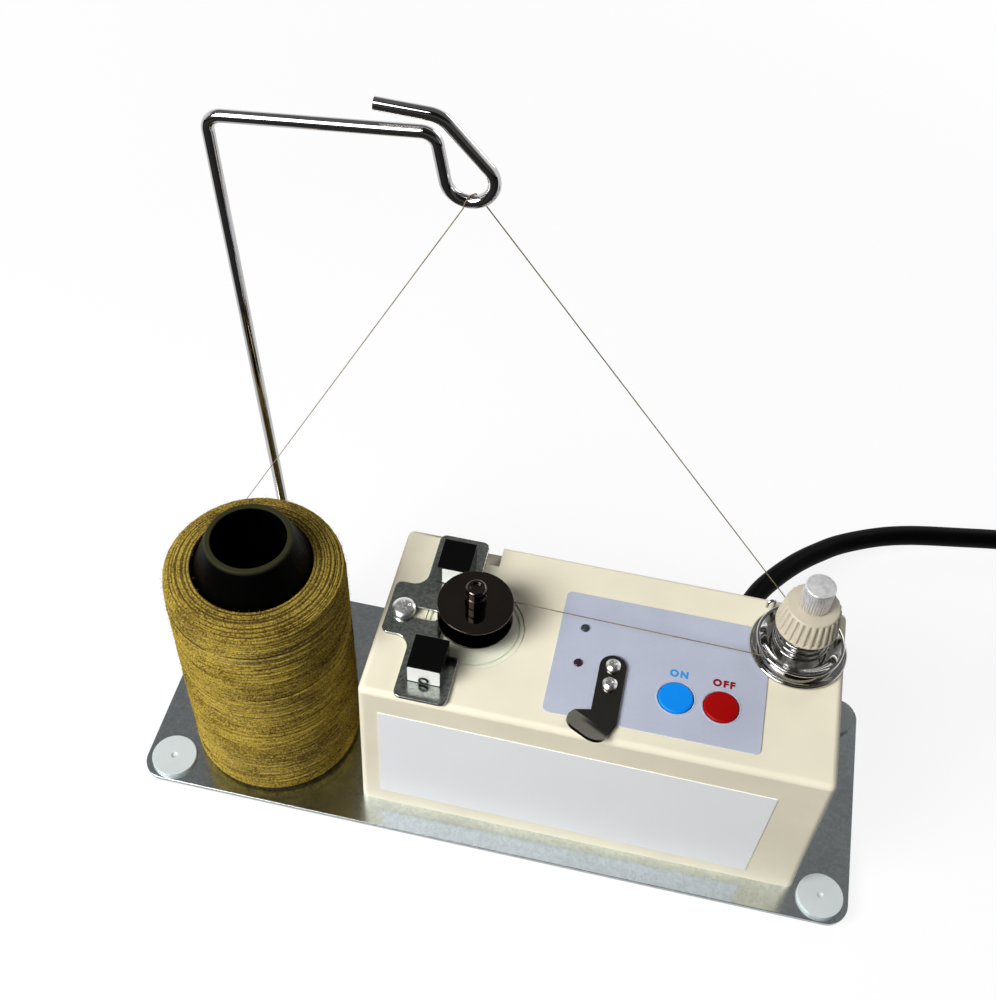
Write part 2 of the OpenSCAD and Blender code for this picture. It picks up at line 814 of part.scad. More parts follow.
module control_overlay() {
    color("lightsteelblue")
    difference() {
        translate([panel[0], panel[1], top])
            linear_extrude(overlay_t)
                round_rect(overlay_l, overlay_w, overlay_r);
        at_each([start_at, stop_at])
            hole(button_d + 2 * slack, top - cut, film + cut);
        at_each([lamp_at, lamp_at - [0, lamp_pitch]])
            hole(lamp_d + 2 * fit, top - cut, film + cut);
        at_each([for (y = cutter_screw_y) [cutter_x, y]])
            hole(m2[0] + 2 * fit, top - cut, film + cut);
    }
}

module push_button() {
    edge = 0.4;
    hole(button_d + 2 * button_lip, button_foot, roof);
    hole(button_d, roof, film + button_rise - edge);
    translate([0, 0, film + button_rise - edge])
        cylinder(d1 = button_d, d2 = button_d - 2 * edge, h = edge);
}

module start_button() {
    color("deepskyblue")
    at_each([start_at])
        push_button();
}

module stop_button() {
    color("crimson")
    at_each([stop_at])
        push_button();
}

module tact_switches() {
    stem_top = button_foot - button_travel - seat_clear;
    body_top = stem_top - switch_stem_h;
    color("dimgray")
    at_each([start_at, stop_at]) {
        translate([-switch_w / 2, -switch_w / 2, board_top])
            cube([switch_w, switch_w, body_top - board_top]);
        hole(switch_stem_d, body_top, stem_top);
    }
}

module indicator_lamps() {
    color("darkslategray")
    at_each([lamp_at, lamp_at - [0, lamp_pitch]])
        hole(lamp_d, board_top, film + lamp_rise);
}

module circuit_board() {
    color("seagreen")
    difference() {
        translate([panel[0] - board_l / 2, panel[1] - board_w / 2, board_top - board_t])
            cube([board_l, board_w, board_t]);
        at_each(board_posts)
            hole(m2[0] + 2 * slack, board_top - board_t - cut, board_top + cut);
    }
}

module board_screws() {
    color("silver")
    at_each(board_posts)
        translate([0, 0, board_top - board_t])
            rotate([180, 0, 0])
                pan_screw(m2, board_t + board_post_h - spare);
}

// Drive

module motor_plate() {
    color("lightgray")
    difference() {
        translate([axis[0] - motor_plate_l / 2, axis[1] - motor_plate_w / 2, motor_top])
            cube([motor_plate_l, motor_plate_w, motor_plate_t]);
        at_each(motor_posts)
            hole(m2[0] + 2 * slack, motor_top - cut, motor_plate_top + cut);
        at_each([axis])
            hole(motor_nose_d + 2 * slack, motor_top - cut, motor_plate_top + cut);
        at_each([for (s = [-1, 1]) axis + [s * motor_screw_pcd / 2, 0]])
            hole(m3[0] + 2 * slack, motor_top - cut, motor_plate_top + cut);
    }
}

module motor_plate_screws() {
    color("silver")
    at_each(motor_posts)
        translate([0, 0, motor_top])
            rotate([180, 0, 0])
                pan_screw(m2, motor_plate_t + motor_post_h - spare);
}

module motor_body() {
    color("gray")
    translate([axis[0], axis[1], 0])
        difference() {
            union() {
                hole(motor_d, motor_top - motor_h, motor_top);
                hole(motor_nose_d, motor_top, motor_plate_top);
            }
            hole(spindle_d + 2 * spindle_clear, motor_plate_top - shaft_depth - spare, motor_plate_top + cut);
            for (s = [-1, 1])
                translate([s * motor_screw_pcd / 2, 0, 0])
                    hole(m3[0] + 2 * fit, motor_top - motor_tap_l - spare, motor_top + cut);
        }
}

module motor_screws() {
    color("silver")
    at_each([for (s = [-1, 1]) axis + [s * motor_screw_pcd / 2, 0]])
        translate([0, 0, motor_plate_top])
            pan_screw(m3, motor_plate_t + motor_tap_l);
}

module spindle_bush() {
    color("honeydew")
    translate([axis[0], axis[1], 0])
        difference() {
            union() {
                hole(bush_d, top - bush_recess, top - bush_recess + bush_t);
                hole(bush_hub_d, roof - bush_hub_drop, top - bush_recess);
            }
            hole(spindle_d + 2 * spindle_clear, roof - bush_hub_drop - cut, top + cut);
        }
}

module bobbin_spindle() {
    tip = top + spindle_rise;
    color("dimgray")
    translate([axis[0], axis[1], 0])
        difference() {
            union() {
                hole(spindle_d, motor_plate_top - shaft_depth, tip - tip_chamfer);
                translate([0, 0, tip - tip_chamfer])
                    cylinder(d1 = spindle_d, d2 = spindle_d - 2 * tip_chamfer, h = tip_chamfer);
                hole(seat_d, seat - seat_t, seat);
            }
            hole(spindle_d * 0.55, tip - tip_dimple, tip + cut);
            translate([0, 0, tip - groove_drop])
                rotate_extrude()
                    translate([spindle_d / 2 - groove_depth, 0])
                        square([cut, groove_w]);
        }
}

module bobbin() {
    color("darkslategray")
    translate([axis[0], axis[1], 0])
        difference() {
            union() {
                hole(bobbin_d, seat, seat + bobbin_flange_t);
                hole(bobbin_hub_d, seat, seat + bobbin_h);
                hole(bobbin_d, seat + bobbin_h - bobbin_flange_t, seat + bobbin_h);
            }
            hole(bobbin_bore_d, seat - cut, seat + bobbin_h + cut);
        }
}

// Full-bobbin sensor

// Fillet for an inside corner at zero, on its +X +Y side
module corner_fillet(r) {
    difference() {
        translate([-fit, -fit])
            square(r + fit);
        translate([r, r])
            circle(r);
    }
}

module bracket_outline() {
    r = bracket_corner_r;
    spine_x1 = arm_x0 + spine_w;
    difference() {
        translate([0, bracket_shift]) {
            translate([(arm_x0 + arm_x1) / 2, 0])
                round_rect(arm_w, bracket_l, r);
            translate([(tab_x0 + spine_x1) / 2, 0])
                round_rect(spine_x1 - tab_x0, tab_w, r);
            for (side = [0, 1])
                mirror([0, side])
                    translate([arm_x0, tab_w / 2])
                        mirror([1, 0])
                            corner_fillet(bracket_fillet_r);
        }
        translate([spine_x1 + arm_w / 2, 0])
            round_rect(arm_w, arm_opening, r);
        for (x = [0, bracket_travel])
            translate([slot_x0 + x, 0])
                circle(d = slot_w);
        translate([slot_x0, -slot_w / 2])
            square([bracket_travel, slot_w]);
    }
}

module sensor_bracket() {
    color("lightgray")
    translate([0, axis[1], bracket_z])
        linear_extrude(bracket_t)
            bracket_outline();
}

module bracket_screw() {
    head = [bracket_screw_d, 6.5, 2.2];
    color("silver")
    translate([slot_x0, axis[1], bracket_top + bracket_clear])
        pan_screw(head, bracket_t + 2 * bracket_clear + roof_t + bracket_boss_h - spare);
}

// A sensor block whose window faces +Y
module sensor_block() {
    difference() {
        translate([-sensor_w / 2, -sensor_l, 0])
            cube([sensor_w, sensor_l, sensor_h]);
        translate([0, -window_depth, window_level])
            rotate([-90, 0, 0])
                cylinder(d = window_d + 2 * fit, h = window_depth + cut);
    }
}

module front_sensor() {
    color("black")
    translate([sensor_x, axis[1] - sensor_gap / 2, bracket_top])
        sensor_block();
}

module rear_sensor() {
    color("black")
    translate([sensor_x, axis[1] + sensor_gap / 2, bracket_top])
        rotate(180)
            sensor_block();
}

module sensor_windows() {
    color("firebrick")
    for (turn = [0, 180])
        translate([sensor_x, axis[1], bracket_top + window_level])
            rotate(turn)
                translate([0, -sensor_gap / 2 - window_depth, 0])
                    rotate([-90, 0, 0])
                        cylinder(d = window_d, h = window_t);
}

// Thread cutter

module cutter_lip() {
    linear_extrude(cutter_t)
        difference() {
            translate([0, lip_w / 2 - lip_w])
                round_rect(lip_l, 2 * lip_w, lip_w * 0.9);
            translate([-lip_l, 0])
                square([2 * lip_l, lip_l]);
        }
}

// A point beside the lip's fold, turned into the strip's directions
function skewed(p) =
    [p[0] * cos(lip_skew) + p[1] * sin(lip_skew), p[1] * cos(lip_skew) - p[0] * sin(lip_skew)];

module thread_cutter() {
    heel = [cutter_x, cutter_y1 - cutter_l];
    color("silver")
    translate([0, 0, film])
        difference() {
            union() {
                linear_extrude(cutter_t) {
                    translate([cutter_x, cutter_y1 - cutter_w / 2])
                        circle(d = cutter_w);
                    translate([cutter_x - cutter_w / 2, heel[1]])
                        square([cutter_w, cutter_l - cutter_w / 2]);
                    translate(heel)
                        polygon([
                            skewed([cutter_w / 2 - lip_l, -lip_root]), skewed([cutter_w / 2, -lip_root]),
                            [cutter_w / 2, 0], [cutter_w / 2, lip_neck], [-cutter_w / 2, lip_neck]
                        ]);
                }
                translate([heel[0], heel[1], 0])
                    rotate(-lip_skew)
                        translate([cutter_w / 2 - lip_l / 2, -lip_root, 0])
                            rotate([-lip_bend, 0, 0])
                                cutter_lip();
            }
            at_each([for (y = cutter_screw_y) [cutter_x, y]])
                hole(m2[0] + 2 * slack, -cut, cutter_t + cut);
        }
}

module cutter_screws() {
    color("silver")
    at_each([for (y = cutter_screw_y) [cutter_x, y]])
        translate([0, 0, film + cutter_t])
            pan_screw(m2, cutter_t + overlay_t + roof_t + spare);
}

// Thread tension

module tension_stud() {
    color("silver")
    translate([tension[0], tension[1], 0]) {
        hole(stud_d, roof - stud_nut_h - spare, cap_z + cap_hole_h - fit);
        hole(stud_flange_d, top, top + stud_flange_h);
    }
}

module tension_nut() {
    color("silver")
    translate([tension[0], tension[1], roof - stud_nut_h])
        hex_nut(stud_d * 1.6, stud_nut_h, stud_d + 2 * fit);
}

// Dished disc with a rolled rim; its flat middle stands on zero and its rim lies at rise
module tension_disc(d, rise) {
    rim_r = d / 2 - rim_wire_d / 2;
    rotate_extrude() {
        polygon([
            [stud_bore_d / 2, 0], [disc_flat_d / 2, 0], [rim_r, rise],
            [rim_r, rise + disc_t], [disc_flat_d / 2, disc_t], [stud_bore_d / 2, disc_t]
        ]);
        translate([rim_r, rise + disc_t / 2])
            circle(d = rim_wire_d);
    }
}

module lower_tension_disc() {
    color("gainsboro")
    translate([tension[0], tension[1], lower_disc_z])
        tension_disc(lower_disc_d, -lower_rim_drop);
}

module upper_tension_disc() {
    color("gainsboro")
    translate([tension[0], tension[1], upper_disc_z])
        tension_disc(upper_disc_d, upper_rim_rise);
}

function spring_path() =
    let (
        n = spring_curls * curl_rings,
        foot_r = (spring_foot_d - spring_wire_d) / 2,
        head_r = (spring_head_d - spring_wire_d) / 2,
        z0 = spring_wire_d / 2 + seat_clear,
        rise = spring_h - 2 * z0
    )
    [for (i = [0:n])
        let (s = i / n, r = foot_r + (head_r - foot_r) * s, a = 360 * spring_curls * s)
        [r * cos(a), r * sin(a), z0 + rise * s]];

module tension_spring() {
    path = spring_path();
    echo(spring_gap = least_gap(path, curl_rings, spring_wire_d));
    color("dimgray")
    translate([tension[0], tension[1], spring_z])
        sweep(with_ends(path, spring_wire_d), spring_wire_d, loop_sides);
}

module spring_washer() {
    color("silver")
    translate([tension[0], tension[1], washer_z])
        difference() {
            cylinder(d = washer_d, h = washer_t);
            translate([0, 0, -cut])
                cylinder(d = stud_bore_d, h = washer_t + 2 * cut);
        }
}

module tension_knob() {
    taper = atan((knob_foot_d - knob_top_d) / 2 / knob_h);
    color("antiquewhite")
    translate([tension[0], tension[1], knob_z])
        difference() {
            cylinder(d1 = knob_foot_d, d2 = knob_top_d, h = knob_h);
            translate([0, 0, -cut])
                cylinder(d = stud_bore_d, h = knob_h + 2 * cut);
            for (k = [0:knob_ribs - 1])
                rotate(360 * k / knob_ribs)
                    translate([knob_foot_d / 2, 0, 0])
                        rotate([0, -taper, 0])
                            translate([0, 0, -cut])
                                cylinder(r = knob_groove_r, h = knob_h + 2 * cut, $fn = 24);
        }
}

module tension_cap() {
    knurl = 0.25;
    n = cap_knurls;
    color("lightgray")
    translate([tension[0], tension[1], cap_z])
        difference() {
            linear_extrude(cap_h)
                polygon([for (k = [0:2 * n - 1])
                    let (r = cap_d / 2 - (k % 2) * knurl, a = 180 * k / n)
                    [r * cos(a), r * sin(a)]]);
            translate([0, 0, -cut])
                cylinder(d = stud_d + 2 * fit, h = cap_hole_h + cut);
        }
}

module thread_hook() {
    color("dimgray")
    translate([hook_at[0], hook_at[1], top - roof_t / 2])
        rotate(hook_turn)
            bent_wire([[roof_t / 2 + hook_h, 180, hook_bend_r], [hook_tail, 0, 0]], hook_wire_d);
}

// Thread stand

module thread_stand() {
    color("silver")
    translate([stand_at[0], stand_at[1], stand_tail])
        bent_wire(stand_steps, stand_d);
}

module stand_nuts() {
    color("silver")
    at_each([stand_at]) {
        translate([0, 0, foot_h - stand_nut_h])
            hex_nut(stand_d * 1.9, stand_nut_h, stand_d + 2 * fit);
        translate([0, 0, deck])
            hex_nut(stand_d * 1.9, stand_nut_h, stand_d + 2 * fit);
    }
}

// Thread cone

module spool_peg() {
    color("dimgray")
    translate([cone[0], cone[1], deck])
        difference() {
            union() {
                cylinder(d = peg_flange_d, h = peg_flange_h);
                cylinder(d = peg_d, h = peg_h - peg_d / 2);
                translate([0, 0, peg_h - peg_d / 2])
                    cylinder(d1 = peg_d, d2 = peg_d / 2, h = peg_d / 2);
            }
            translate([0, 0, -cut])
                cylinder(d = m3[0] + 2 * fit, h = tap_l + cut + spare);
        }
}

module spool_screw() {
    color("silver")
    translate([cone[0], cone[1], foot_h])
        rotate([180, 0, 0])
            pan_screw(m3, plate_t + tap_l);
}

// Section of the tube between its axis and its skin, grown by extra
module tube_section(extra) {
    polygon([
        [0, 0], [tube_foot_d / 2 + extra, 0], [tube_nose_d / 2 + extra, pack_top],
        [tube_top_d / 2 + extra, tube_h], [0, tube_h]
    ]);
}

module cone_tube() {
    color("black")
    translate([cone[0], cone[1], deck])
        rotate_extrude()
            difference() {
                tube_section(0);
                polygon([
                    [-cut, -cut], [tube_foot_d / 2 - tube_wall, -cut],
                    [tube_nose_d / 2 - tube_wall, pack_top - tube_wall],
                    [tube_top_d / 2 - tube_wall, tube_h + cut], [-cut, tube_h + cut]
                ]);
            }
}

function pack_r(z) =
    (pack_foot_d + (pack_top_d - pack_foot_d) * (z - pack_foot) / (shoulder_z - pack_foot)) / 2;

module cone_core() {
    under = wind_d + wind_room;
    r = pack_top_d / 2;
    r_in = tube_nose_d / 2 + pack_step;
    color("darkgoldenrod")
    translate([cone[0], cone[1], deck])
        rotate_extrude()
            difference() {
                polygon(concat(
                    [[0, pack_foot], [pack_r(pack_foot) - under, pack_foot],
                     [pack_r(shoulder_z) - under, shoulder_z], [r, shoulder_z]],
                    [for (a = [15:15:90])
                        [r_in + (r - r_in) * cos(a), shoulder_z + shoulder_h * sin(a)]],
                    [[0, pack_top]]
                ));
                tube_section(2 * fit);
            }
}

function wind_path() =
    let (n = wind_loops * loop_rings)
    [for (i = [0:n])
        let (
            z = wind_z0 + (wind_z1 - wind_z0) * i / n,
            r = pack_r(z - deck) - wind_d / 2,
            a = 360 * i / loop_rings
        )
        [r * cos(a), r * sin(a), z]];

module cone_winding() {
    path = wind_path();
    echo(winding_gap = least_gap(path, loop_rings, wind_d));
    color("goldenrod")
    translate([cone[0], cone[1], 0])
        sweep(with_ends(path, wind_d), wind_d, loop_sides);
}

module thread_run() {
    color("saddlebrown")
    sweep(thread_points, thread_d, thread_sides, thread_up);
}

// Power supply

module transformer_core() {
    color("dimgray")
    translate([core_at[0], core_at[1], deck])
        difference() {
            union() {
                translate([-core_l / 2, -core_w / 2, 0])
                    cube([core_l, core_w, core_h]);
                translate([-core_l / 2 - lug_l, -core_w / 2, 0])
                    cube([core_l + 2 * lug_l, core_w, lug_t]);
            }
            translate([-winding_l / 2, -core_w / 2 - cut, (core_h - winding_h) / 2])
                cube([winding_l, core_w + 2 * cut, winding_h]);
            for (s = [-1, 1])
                translate([s * lug_x, 0, -cut])
                    cylinder(d = m3[0] + 2 * fit, h = lug_t + 2 * cut);
        }
}

module transformer_coil() {
    color("khaki")
    translate([core_at[0] - winding_l / 2, core_at[1] - winding_w / 2, deck + (core_h - winding_h) / 2])
        cube([winding_l, winding_w, winding_h]);
}

module transformer_screws() {
    color("silver")
    at_each([for (s = [-1, 1]) core_at + [s * lug_x, 0]])
        translate([0, 0, foot_h])
            rotate([180, 0, 0])
                pan_screw(m3, plate_t + lug_t + spare);
}

module cord_gland() {
    color("black")
    translate([gland_x, back, gland_z])
        rotate([-90, 0, 0]) {
            translate([0, 0, -wall - spare])
                cylinder(d = gland_hole_d, h = wall + spare);
            cylinder(d = gland_flange_d, h = gland_flange_t);
            translate([0, 0, gland_flange_t])
                cylinder(d1 = relief_root_d, d2 = relief_tip_d, h = relief_l);
        }
}

module power_cord() {
    color("black")
    sweep(cord_points, cord_d, cord_sides);
}

// The coil spirals in and out at a steady rate, and climbs in the half turn where it reverses
function coil_path() =
    let (turns = 2 * coil_turns)
    [for (i = [0:turns * loop_rings])
        let (
            t = i / loop_rings,
            r = coil_r - coil_step * min(t, turns - t),
            climb = min(1, max(0, (t - coil_turns + 0.25) * 2)),
            a = 90 - 360 * t
        )
        [r * cos(a), r * sin(a), coil_z + coil_step * climb]];

module cord_coil() {
    path = coil_path();
    n = len(path) - 1;
    ends = concat([path[0] - [cord_d, 0, 0]], path, [path[n] + [cord_d, 0, 0]]);
    echo(coil_gap = least_gap(path, loop_rings, cord_d));
    color("black")
    translate([coil_at[0], coil_at[1], 0])
        sweep(ends, cord_d, loop_sides);
}

module cord_tie() {
    inner_r = coil_r - coil_step * (coil_turns - 0.25) - cord_r;
    outer_r = coil_r - coil_step * 0.25 + cord_r;
    l = outer_r - inner_r + 2 * tie_room;
    h = coil_step + cord_d + 2 * tie_clear;
    color("dimgray")
    translate([coil_at[0] + (inner_r + outer_r) / 2, coil_at[1] + tie_w / 2, coil_z + coil_step / 2])
        rotate([90, 0, 0])
            linear_extrude(tie_w)
                difference() {
                    round_rect(l + 2 * tie_t, h + 2 * tie_t, cord_r);
                    round_rect(l, h, cord_r - tie_t);
                }
}

module cord_tail() {
    color("black")
    sweep(tail_points, cord_d, cord_sides);
}

module on_plug() {
    translate(plug_at)
        rotate(plug_turn)
            rotate([0, 90, 0])
                children();
}

module plug_body() {
    color("black")
    on_plug() {
        cylinder(d1 = relief_tip_d, d2 = relief_root_d, h = relief_l);
        translate([0, 0, relief_l])
            linear_extrude(plug_l)
                round_rect(plug_t, plug_w, plug_t / 4);
    }
}

module plug_blades() {
    blade_l = 17;
    blade_w = 6.3;
    blade_t = 1.5;
    blade_pitch = 12.7;
    color("silver")
    on_plug()
        for (s = [-1, 1])
            translate([-blade_w / 2, s * blade_pitch / 2 - blade_t / 2, relief_l + plug_l])
                cube([blade_w, blade_t, blade_l]);
}

base_plate();
corner_feet();
housing_shell();
housing_screws();
front_label();
control_overlay();
start_button();
stop_button();
tact_switches();
indicator_lamps();
circuit_board();
board_screws();
motor_plate();
motor_plate_screws();
motor_body();
motor_screws();
spindle_bush();
bobbin_spindle();
bobbin();
sensor_bracket();
bracket_screw();
front_sensor();
rear_sensor();
sensor_windows();
thread_cutter();
cutter_screws();
tension_stud();
tension_nut();
lower_tension_disc();
upper_tension_disc();
tension_spring();
spring_washer();
tension_knob();
tension_cap();
thread_hook();
thread_stand();
stand_nuts();
spool_peg();
spool_screw();
cone_tube();
cone_core();
cone_winding();
thread_run();
transformer_core();
transformer_coil();
transformer_screws();
cord_gland();
power_cord();
cord_coil();
cord_tie();
cord_tail();
plug_body();
plug_blades();
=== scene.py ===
import json
import math
import bmesh
import bpy
from mathutils import Matrix, Vector


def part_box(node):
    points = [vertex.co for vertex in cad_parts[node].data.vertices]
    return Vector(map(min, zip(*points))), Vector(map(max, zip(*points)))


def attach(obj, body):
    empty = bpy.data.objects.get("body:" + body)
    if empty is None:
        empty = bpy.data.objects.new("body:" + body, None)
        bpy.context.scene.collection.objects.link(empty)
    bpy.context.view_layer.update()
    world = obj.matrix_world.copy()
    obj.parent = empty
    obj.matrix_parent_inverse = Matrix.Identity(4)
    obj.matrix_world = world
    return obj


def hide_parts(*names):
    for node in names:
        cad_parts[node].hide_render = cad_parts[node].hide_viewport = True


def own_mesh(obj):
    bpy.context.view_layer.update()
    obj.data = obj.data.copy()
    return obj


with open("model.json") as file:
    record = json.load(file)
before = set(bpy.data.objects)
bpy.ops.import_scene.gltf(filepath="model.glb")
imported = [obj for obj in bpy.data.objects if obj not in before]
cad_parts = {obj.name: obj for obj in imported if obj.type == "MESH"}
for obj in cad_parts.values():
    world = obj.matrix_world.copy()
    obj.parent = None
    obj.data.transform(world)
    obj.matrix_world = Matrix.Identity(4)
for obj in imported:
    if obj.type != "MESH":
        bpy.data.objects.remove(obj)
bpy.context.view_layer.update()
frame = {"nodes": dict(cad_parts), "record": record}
record = frame["record"]
scene = bpy.context.scene
mm = 0.001
bodyOfNode = {n: b for b, names in record["behaviour"]["bodies"].items() for n in names}
slotOfNode = {s["node"]: s["material_slot"] for s in record["subparts"]}
print("frame loaded:", len(frame["nodes"]), "nodes")


def newObject(name, data):
    made = bpy.data.objects.new(name, data)
    scene.collection.objects.link(made)
    return made


# cosine and sine of an angle in degrees
def onCircle(degrees):
    return math.cos(math.radians(degrees)), math.sin(math.radians(degrees))


def limited(value):
    return min(1, max(0, value))


# camera, millimetres in the part's own frame
viewpoint = {
    "place": (25.62, -199.08, 360.66),
    "right": (0.97676033, 0.211005, 0.03763171),
    "up": (-0.18622699, 0.74856739, 0.63636968),
    "forward": (-0.10610731, 0.6285887, -0.77046576),
    "lens": 47.05, "sensor": 36, "nearest": 10, "farthest": 20000,
}


def makeCamera():
    s = viewpoint
    data = bpy.data.cameras.new("photoCamera")
    data.lens = s["lens"]
    data.sensor_width = s["sensor"]
    data.clip_start = s["nearest"] * mm
    data.clip_end = s["farthest"] * mm
    camera = newObject("photoCamera", data)
    turn = Matrix([s["right"], s["up"], [-v for v in s["forward"]]]).transposed()
    camera.matrix_world = Matrix.Translation(Vector(s["place"]) * mm) @ turn.to_4x4()
    scene.camera = camera


makeCamera()
print("camera placed")


# one socket of a shader tree, with Python's operators
class Val:
    def __init__(self, tree, socket):
        self.tree, self.socket = tree, socket

    def calc(self, operation, other, swapped=False):
        pair = {0: other, 1: self} if swapped else {0: self, 1: other}
        return self.tree.node("ShaderNodeMath", {"operation": operation}, pair)

    def __add__(self, other):
        return self.calc("ADD", other)

    def __radd__(self, other):
        return self.calc("ADD", other, True)

    def __sub__(self, other):
        return self.calc("SUBTRACT", other)

    def __rsub__(self, other):
        return self.calc("SUBTRACT", other, True)

    def __mul__(self, other):
        return self.calc("MULTIPLY", other)

    def __rmul__(self, other):
        return self.calc("MULTIPLY", other, True)

    def above(self, other):
        return self.calc("GREATER_THAN", other)

    def larger(self, other):
        return self.calc("MAXIMUM", other)


# the nodes of a material or a world
class Tree:
    def __init__(self, tree):
        self.tree = tree
        self.tree.nodes.clear()

    # any node: its type, its settings first, then the values or links of its sockets
    def node(self, kind, settings=None, sockets=None, out=0):
        made = self.tree.nodes.new(kind)
        for key, value in (settings or {}).items():
            if key == "stops":
                self.setStops(made.color_ramp, value)
            else:
                setattr(made, key, value)
        for key, value in (sockets or {}).items():
            self.feed(made.inputs[key], value)
        return Val(self, made.outputs[out]) if len(made.outputs) else made

    def setStops(self, ramp, stops):
        while len(ramp.elements) < len(stops):
            ramp.elements.new(0.5)
        for stop, (at, colour) in zip(ramp.elements, stops):
            stop.position = at
            stop.color = (*colour, 1)

    def feed(self, socket, value):
        if isinstance(value, Val):
            self.tree.links.new(value.socket, socket)
        elif hasattr(value, "__len__") and len(value) == 3 and socket.type == "RGBA":
            socket.default_value = (*value, 1)
        else:
            socket.default_value = value

    # 1 for the rays of that kind: "Camera", "Glossy" or "Transmission"
    def ray(self, kind):
        return self.node("ShaderNodeLightPath", out="Is %s Ray" % kind)

    def axis(self, letter, vector):
        return self.node("ShaderNodeSeparateXYZ", {}, {0: vector}, "XYZ".index(letter))

    def length(self, vector):
        return self.node("ShaderNodeVectorMath", {"operation": "LENGTH"}, {0: vector}, 1)

    def ramp(self, value, *stops):
        return self.node("ShaderNodeValToRGB", {"stops": stops}, {0: value})

    def greyRamp(self, value, levels):
        return self.ramp(value, *((at, (level, level, level)) for at, level in levels))


# a material, whose patterns are sized in millimetres
class Finish(Tree):
    def __init__(self, name, **fixed):
        self.material = bpy.data.materials.new(name)
        self.material.use_nodes = True
        super().__init__(self.material.node_tree)
        self.shader = self.tree.nodes.new("ShaderNodeBsdfPrincipled")
        self.node("ShaderNodeOutputMaterial", {}, {0: Val(self, self.shader.outputs[0])})
        self.place = self.node("ShaderNodeTexCoord", out="Object")
        self.set(**fixed)

    def set(self, **sockets):
        for name, value in sockets.items():
            self.feed(self.shader.inputs[name.replace("_", " ")], value)
        return self

    def stretched(self, scale, move=(0, 0, 0)):
        return self.node("ShaderNodeMapping", {}, {"Vector": self.place, "Scale": scale, "Location": move})

    def noise(self, grain, detail, rough=0.55, vector=None):
        sockets = {"Vector": vector or self.place, "Scale": 1 / (grain * mm)}
        return self.node("ShaderNodeTexNoise", {}, {**sockets, "Detail": detail, "Roughness": rough})

    # the random colour of each cell
    def cells(self, grain):
        return self.node("ShaderNodeTexVoronoi", {}, {"Vector": self.place, "Scale": 1 / (grain * mm)}, "Color")

    def blend(self, share, first, second):
        return self.node("ShaderNodeMix", {"data_type": "RGBA"}, {0: share, 6: first, 7: second}, 2)

    def bump(self, height, depth, strength):
        sockets = {"Height": height, "Distance": depth * mm, "Strength": strength}
        return self.set(Normal=self.node("ShaderNodeBump", {}, sockets))


def shade(colour, by):
    return tuple(min(1, c * by) for c in colour)


# moulded plastic: a fine skin, broad faint clouds and uneven gloss
def plasticFinish(name, colour, rough, grain, depth, gloss=0.5, **more):
    finish = Finish(name, Specular_IOR_Level=gloss, **more)
    skin = finish.noise(grain, 2)
    cloud = finish.noise(26, 3)
    smear = finish.noise(9, 4)
    finish.set(Base_Color=finish.ramp(cloud, (0.35, shade(colour, 0.96)), (0.65, shade(colour, 1.03))))
    finish.set(Roughness=rough + 0.14 * (smear - 0.5))
    return finish.bump(skin, depth, 0.5)


# plated metal: faint smears, and a slow wave that breaks up its reflections
def metalFinish(name, colour, rough, spread, wave=0.02):
    finish = Finish(name, Metallic=1)
    smear = finish.noise(6, 4)
    finish.set(Base_Color=finish.ramp(smear, (0.3, shade(colour, 0.88)), (0.7, shade(colour, 1.06))))
    finish.set(Roughness=rough + spread * smear)
    return finish.bump(finish.noise(5, 1), wave, 0.5)


# rolled zinc: fine crystals over faint stains
def zincFinish(name, colour, rough, flake, fleck):
    finish = Finish(name, Metallic=1)
    crystal = finish.axis("X", finish.cells(flake))
    speck = finish.noise(0.4, 3, 0.7)
    stain = finish.noise(16, 3)
    tone = crystal * 0.2 + speck * 0.5 + stain * 0.3
    dark, pale = shade(colour, 1 - fleck), shade(colour, 1 + fleck)
    finish.set(Base_Color=finish.ramp(tone, (0.36, dark), (0.5, colour), (0.64, pale)))
    finish.set(Roughness=rough + 0.1 * speck + 0.05 * stain)
    return finish.bump(speck, 0.006, 0.35)


# turned metal: rings about an axis, with small knocks
def turnedFinish(name, colour, rough, centre):
    finish = Finish(name, Metallic=1)
    fromAxis = finish.stretched((1, 1, 0), move=(-centre[0] * mm, -centre[1] * mm, 0))
    rings = {"W": finish.length(fromAxis), "Scale": 5200, "Detail": 2}
    line = finish.node("ShaderNodeTexNoise", {"noise_dimensions": "1D"}, rings)
    wear = finish.noise(1.2, 3)
    tone = line * 0.55 + wear * 0.45
    finish.set(Base_Color=finish.ramp(tone, (0.35, shade(colour, 0.75)), (0.65, shade(colour, 1.1))))
    finish.set(Roughness=rough + 0.2 * wear)
    return finish.bump(line * 0.6 + wear * 0.4, 0.03, 0.5)


# printed film: fine flecks over slow clouds
def filmFinish():
    finish = Finish("greyFilm", Specular_IOR_Level=0.4)
    fleck = finish.noise(0.35, 2)
    cloud = finish.noise(14, 3)
    tone = cloud * 0.5 + fleck * 0.5
    finish.set(Base_Color=finish.ramp(tone, (0.3, (0.455, 0.485, 0.59)), (0.7, (0.535, 0.567, 0.68))))
    finish.set(Roughness=0.34 + 0.16 * fleck)
    return finish.bump(fleck, 0.012, 0.4)


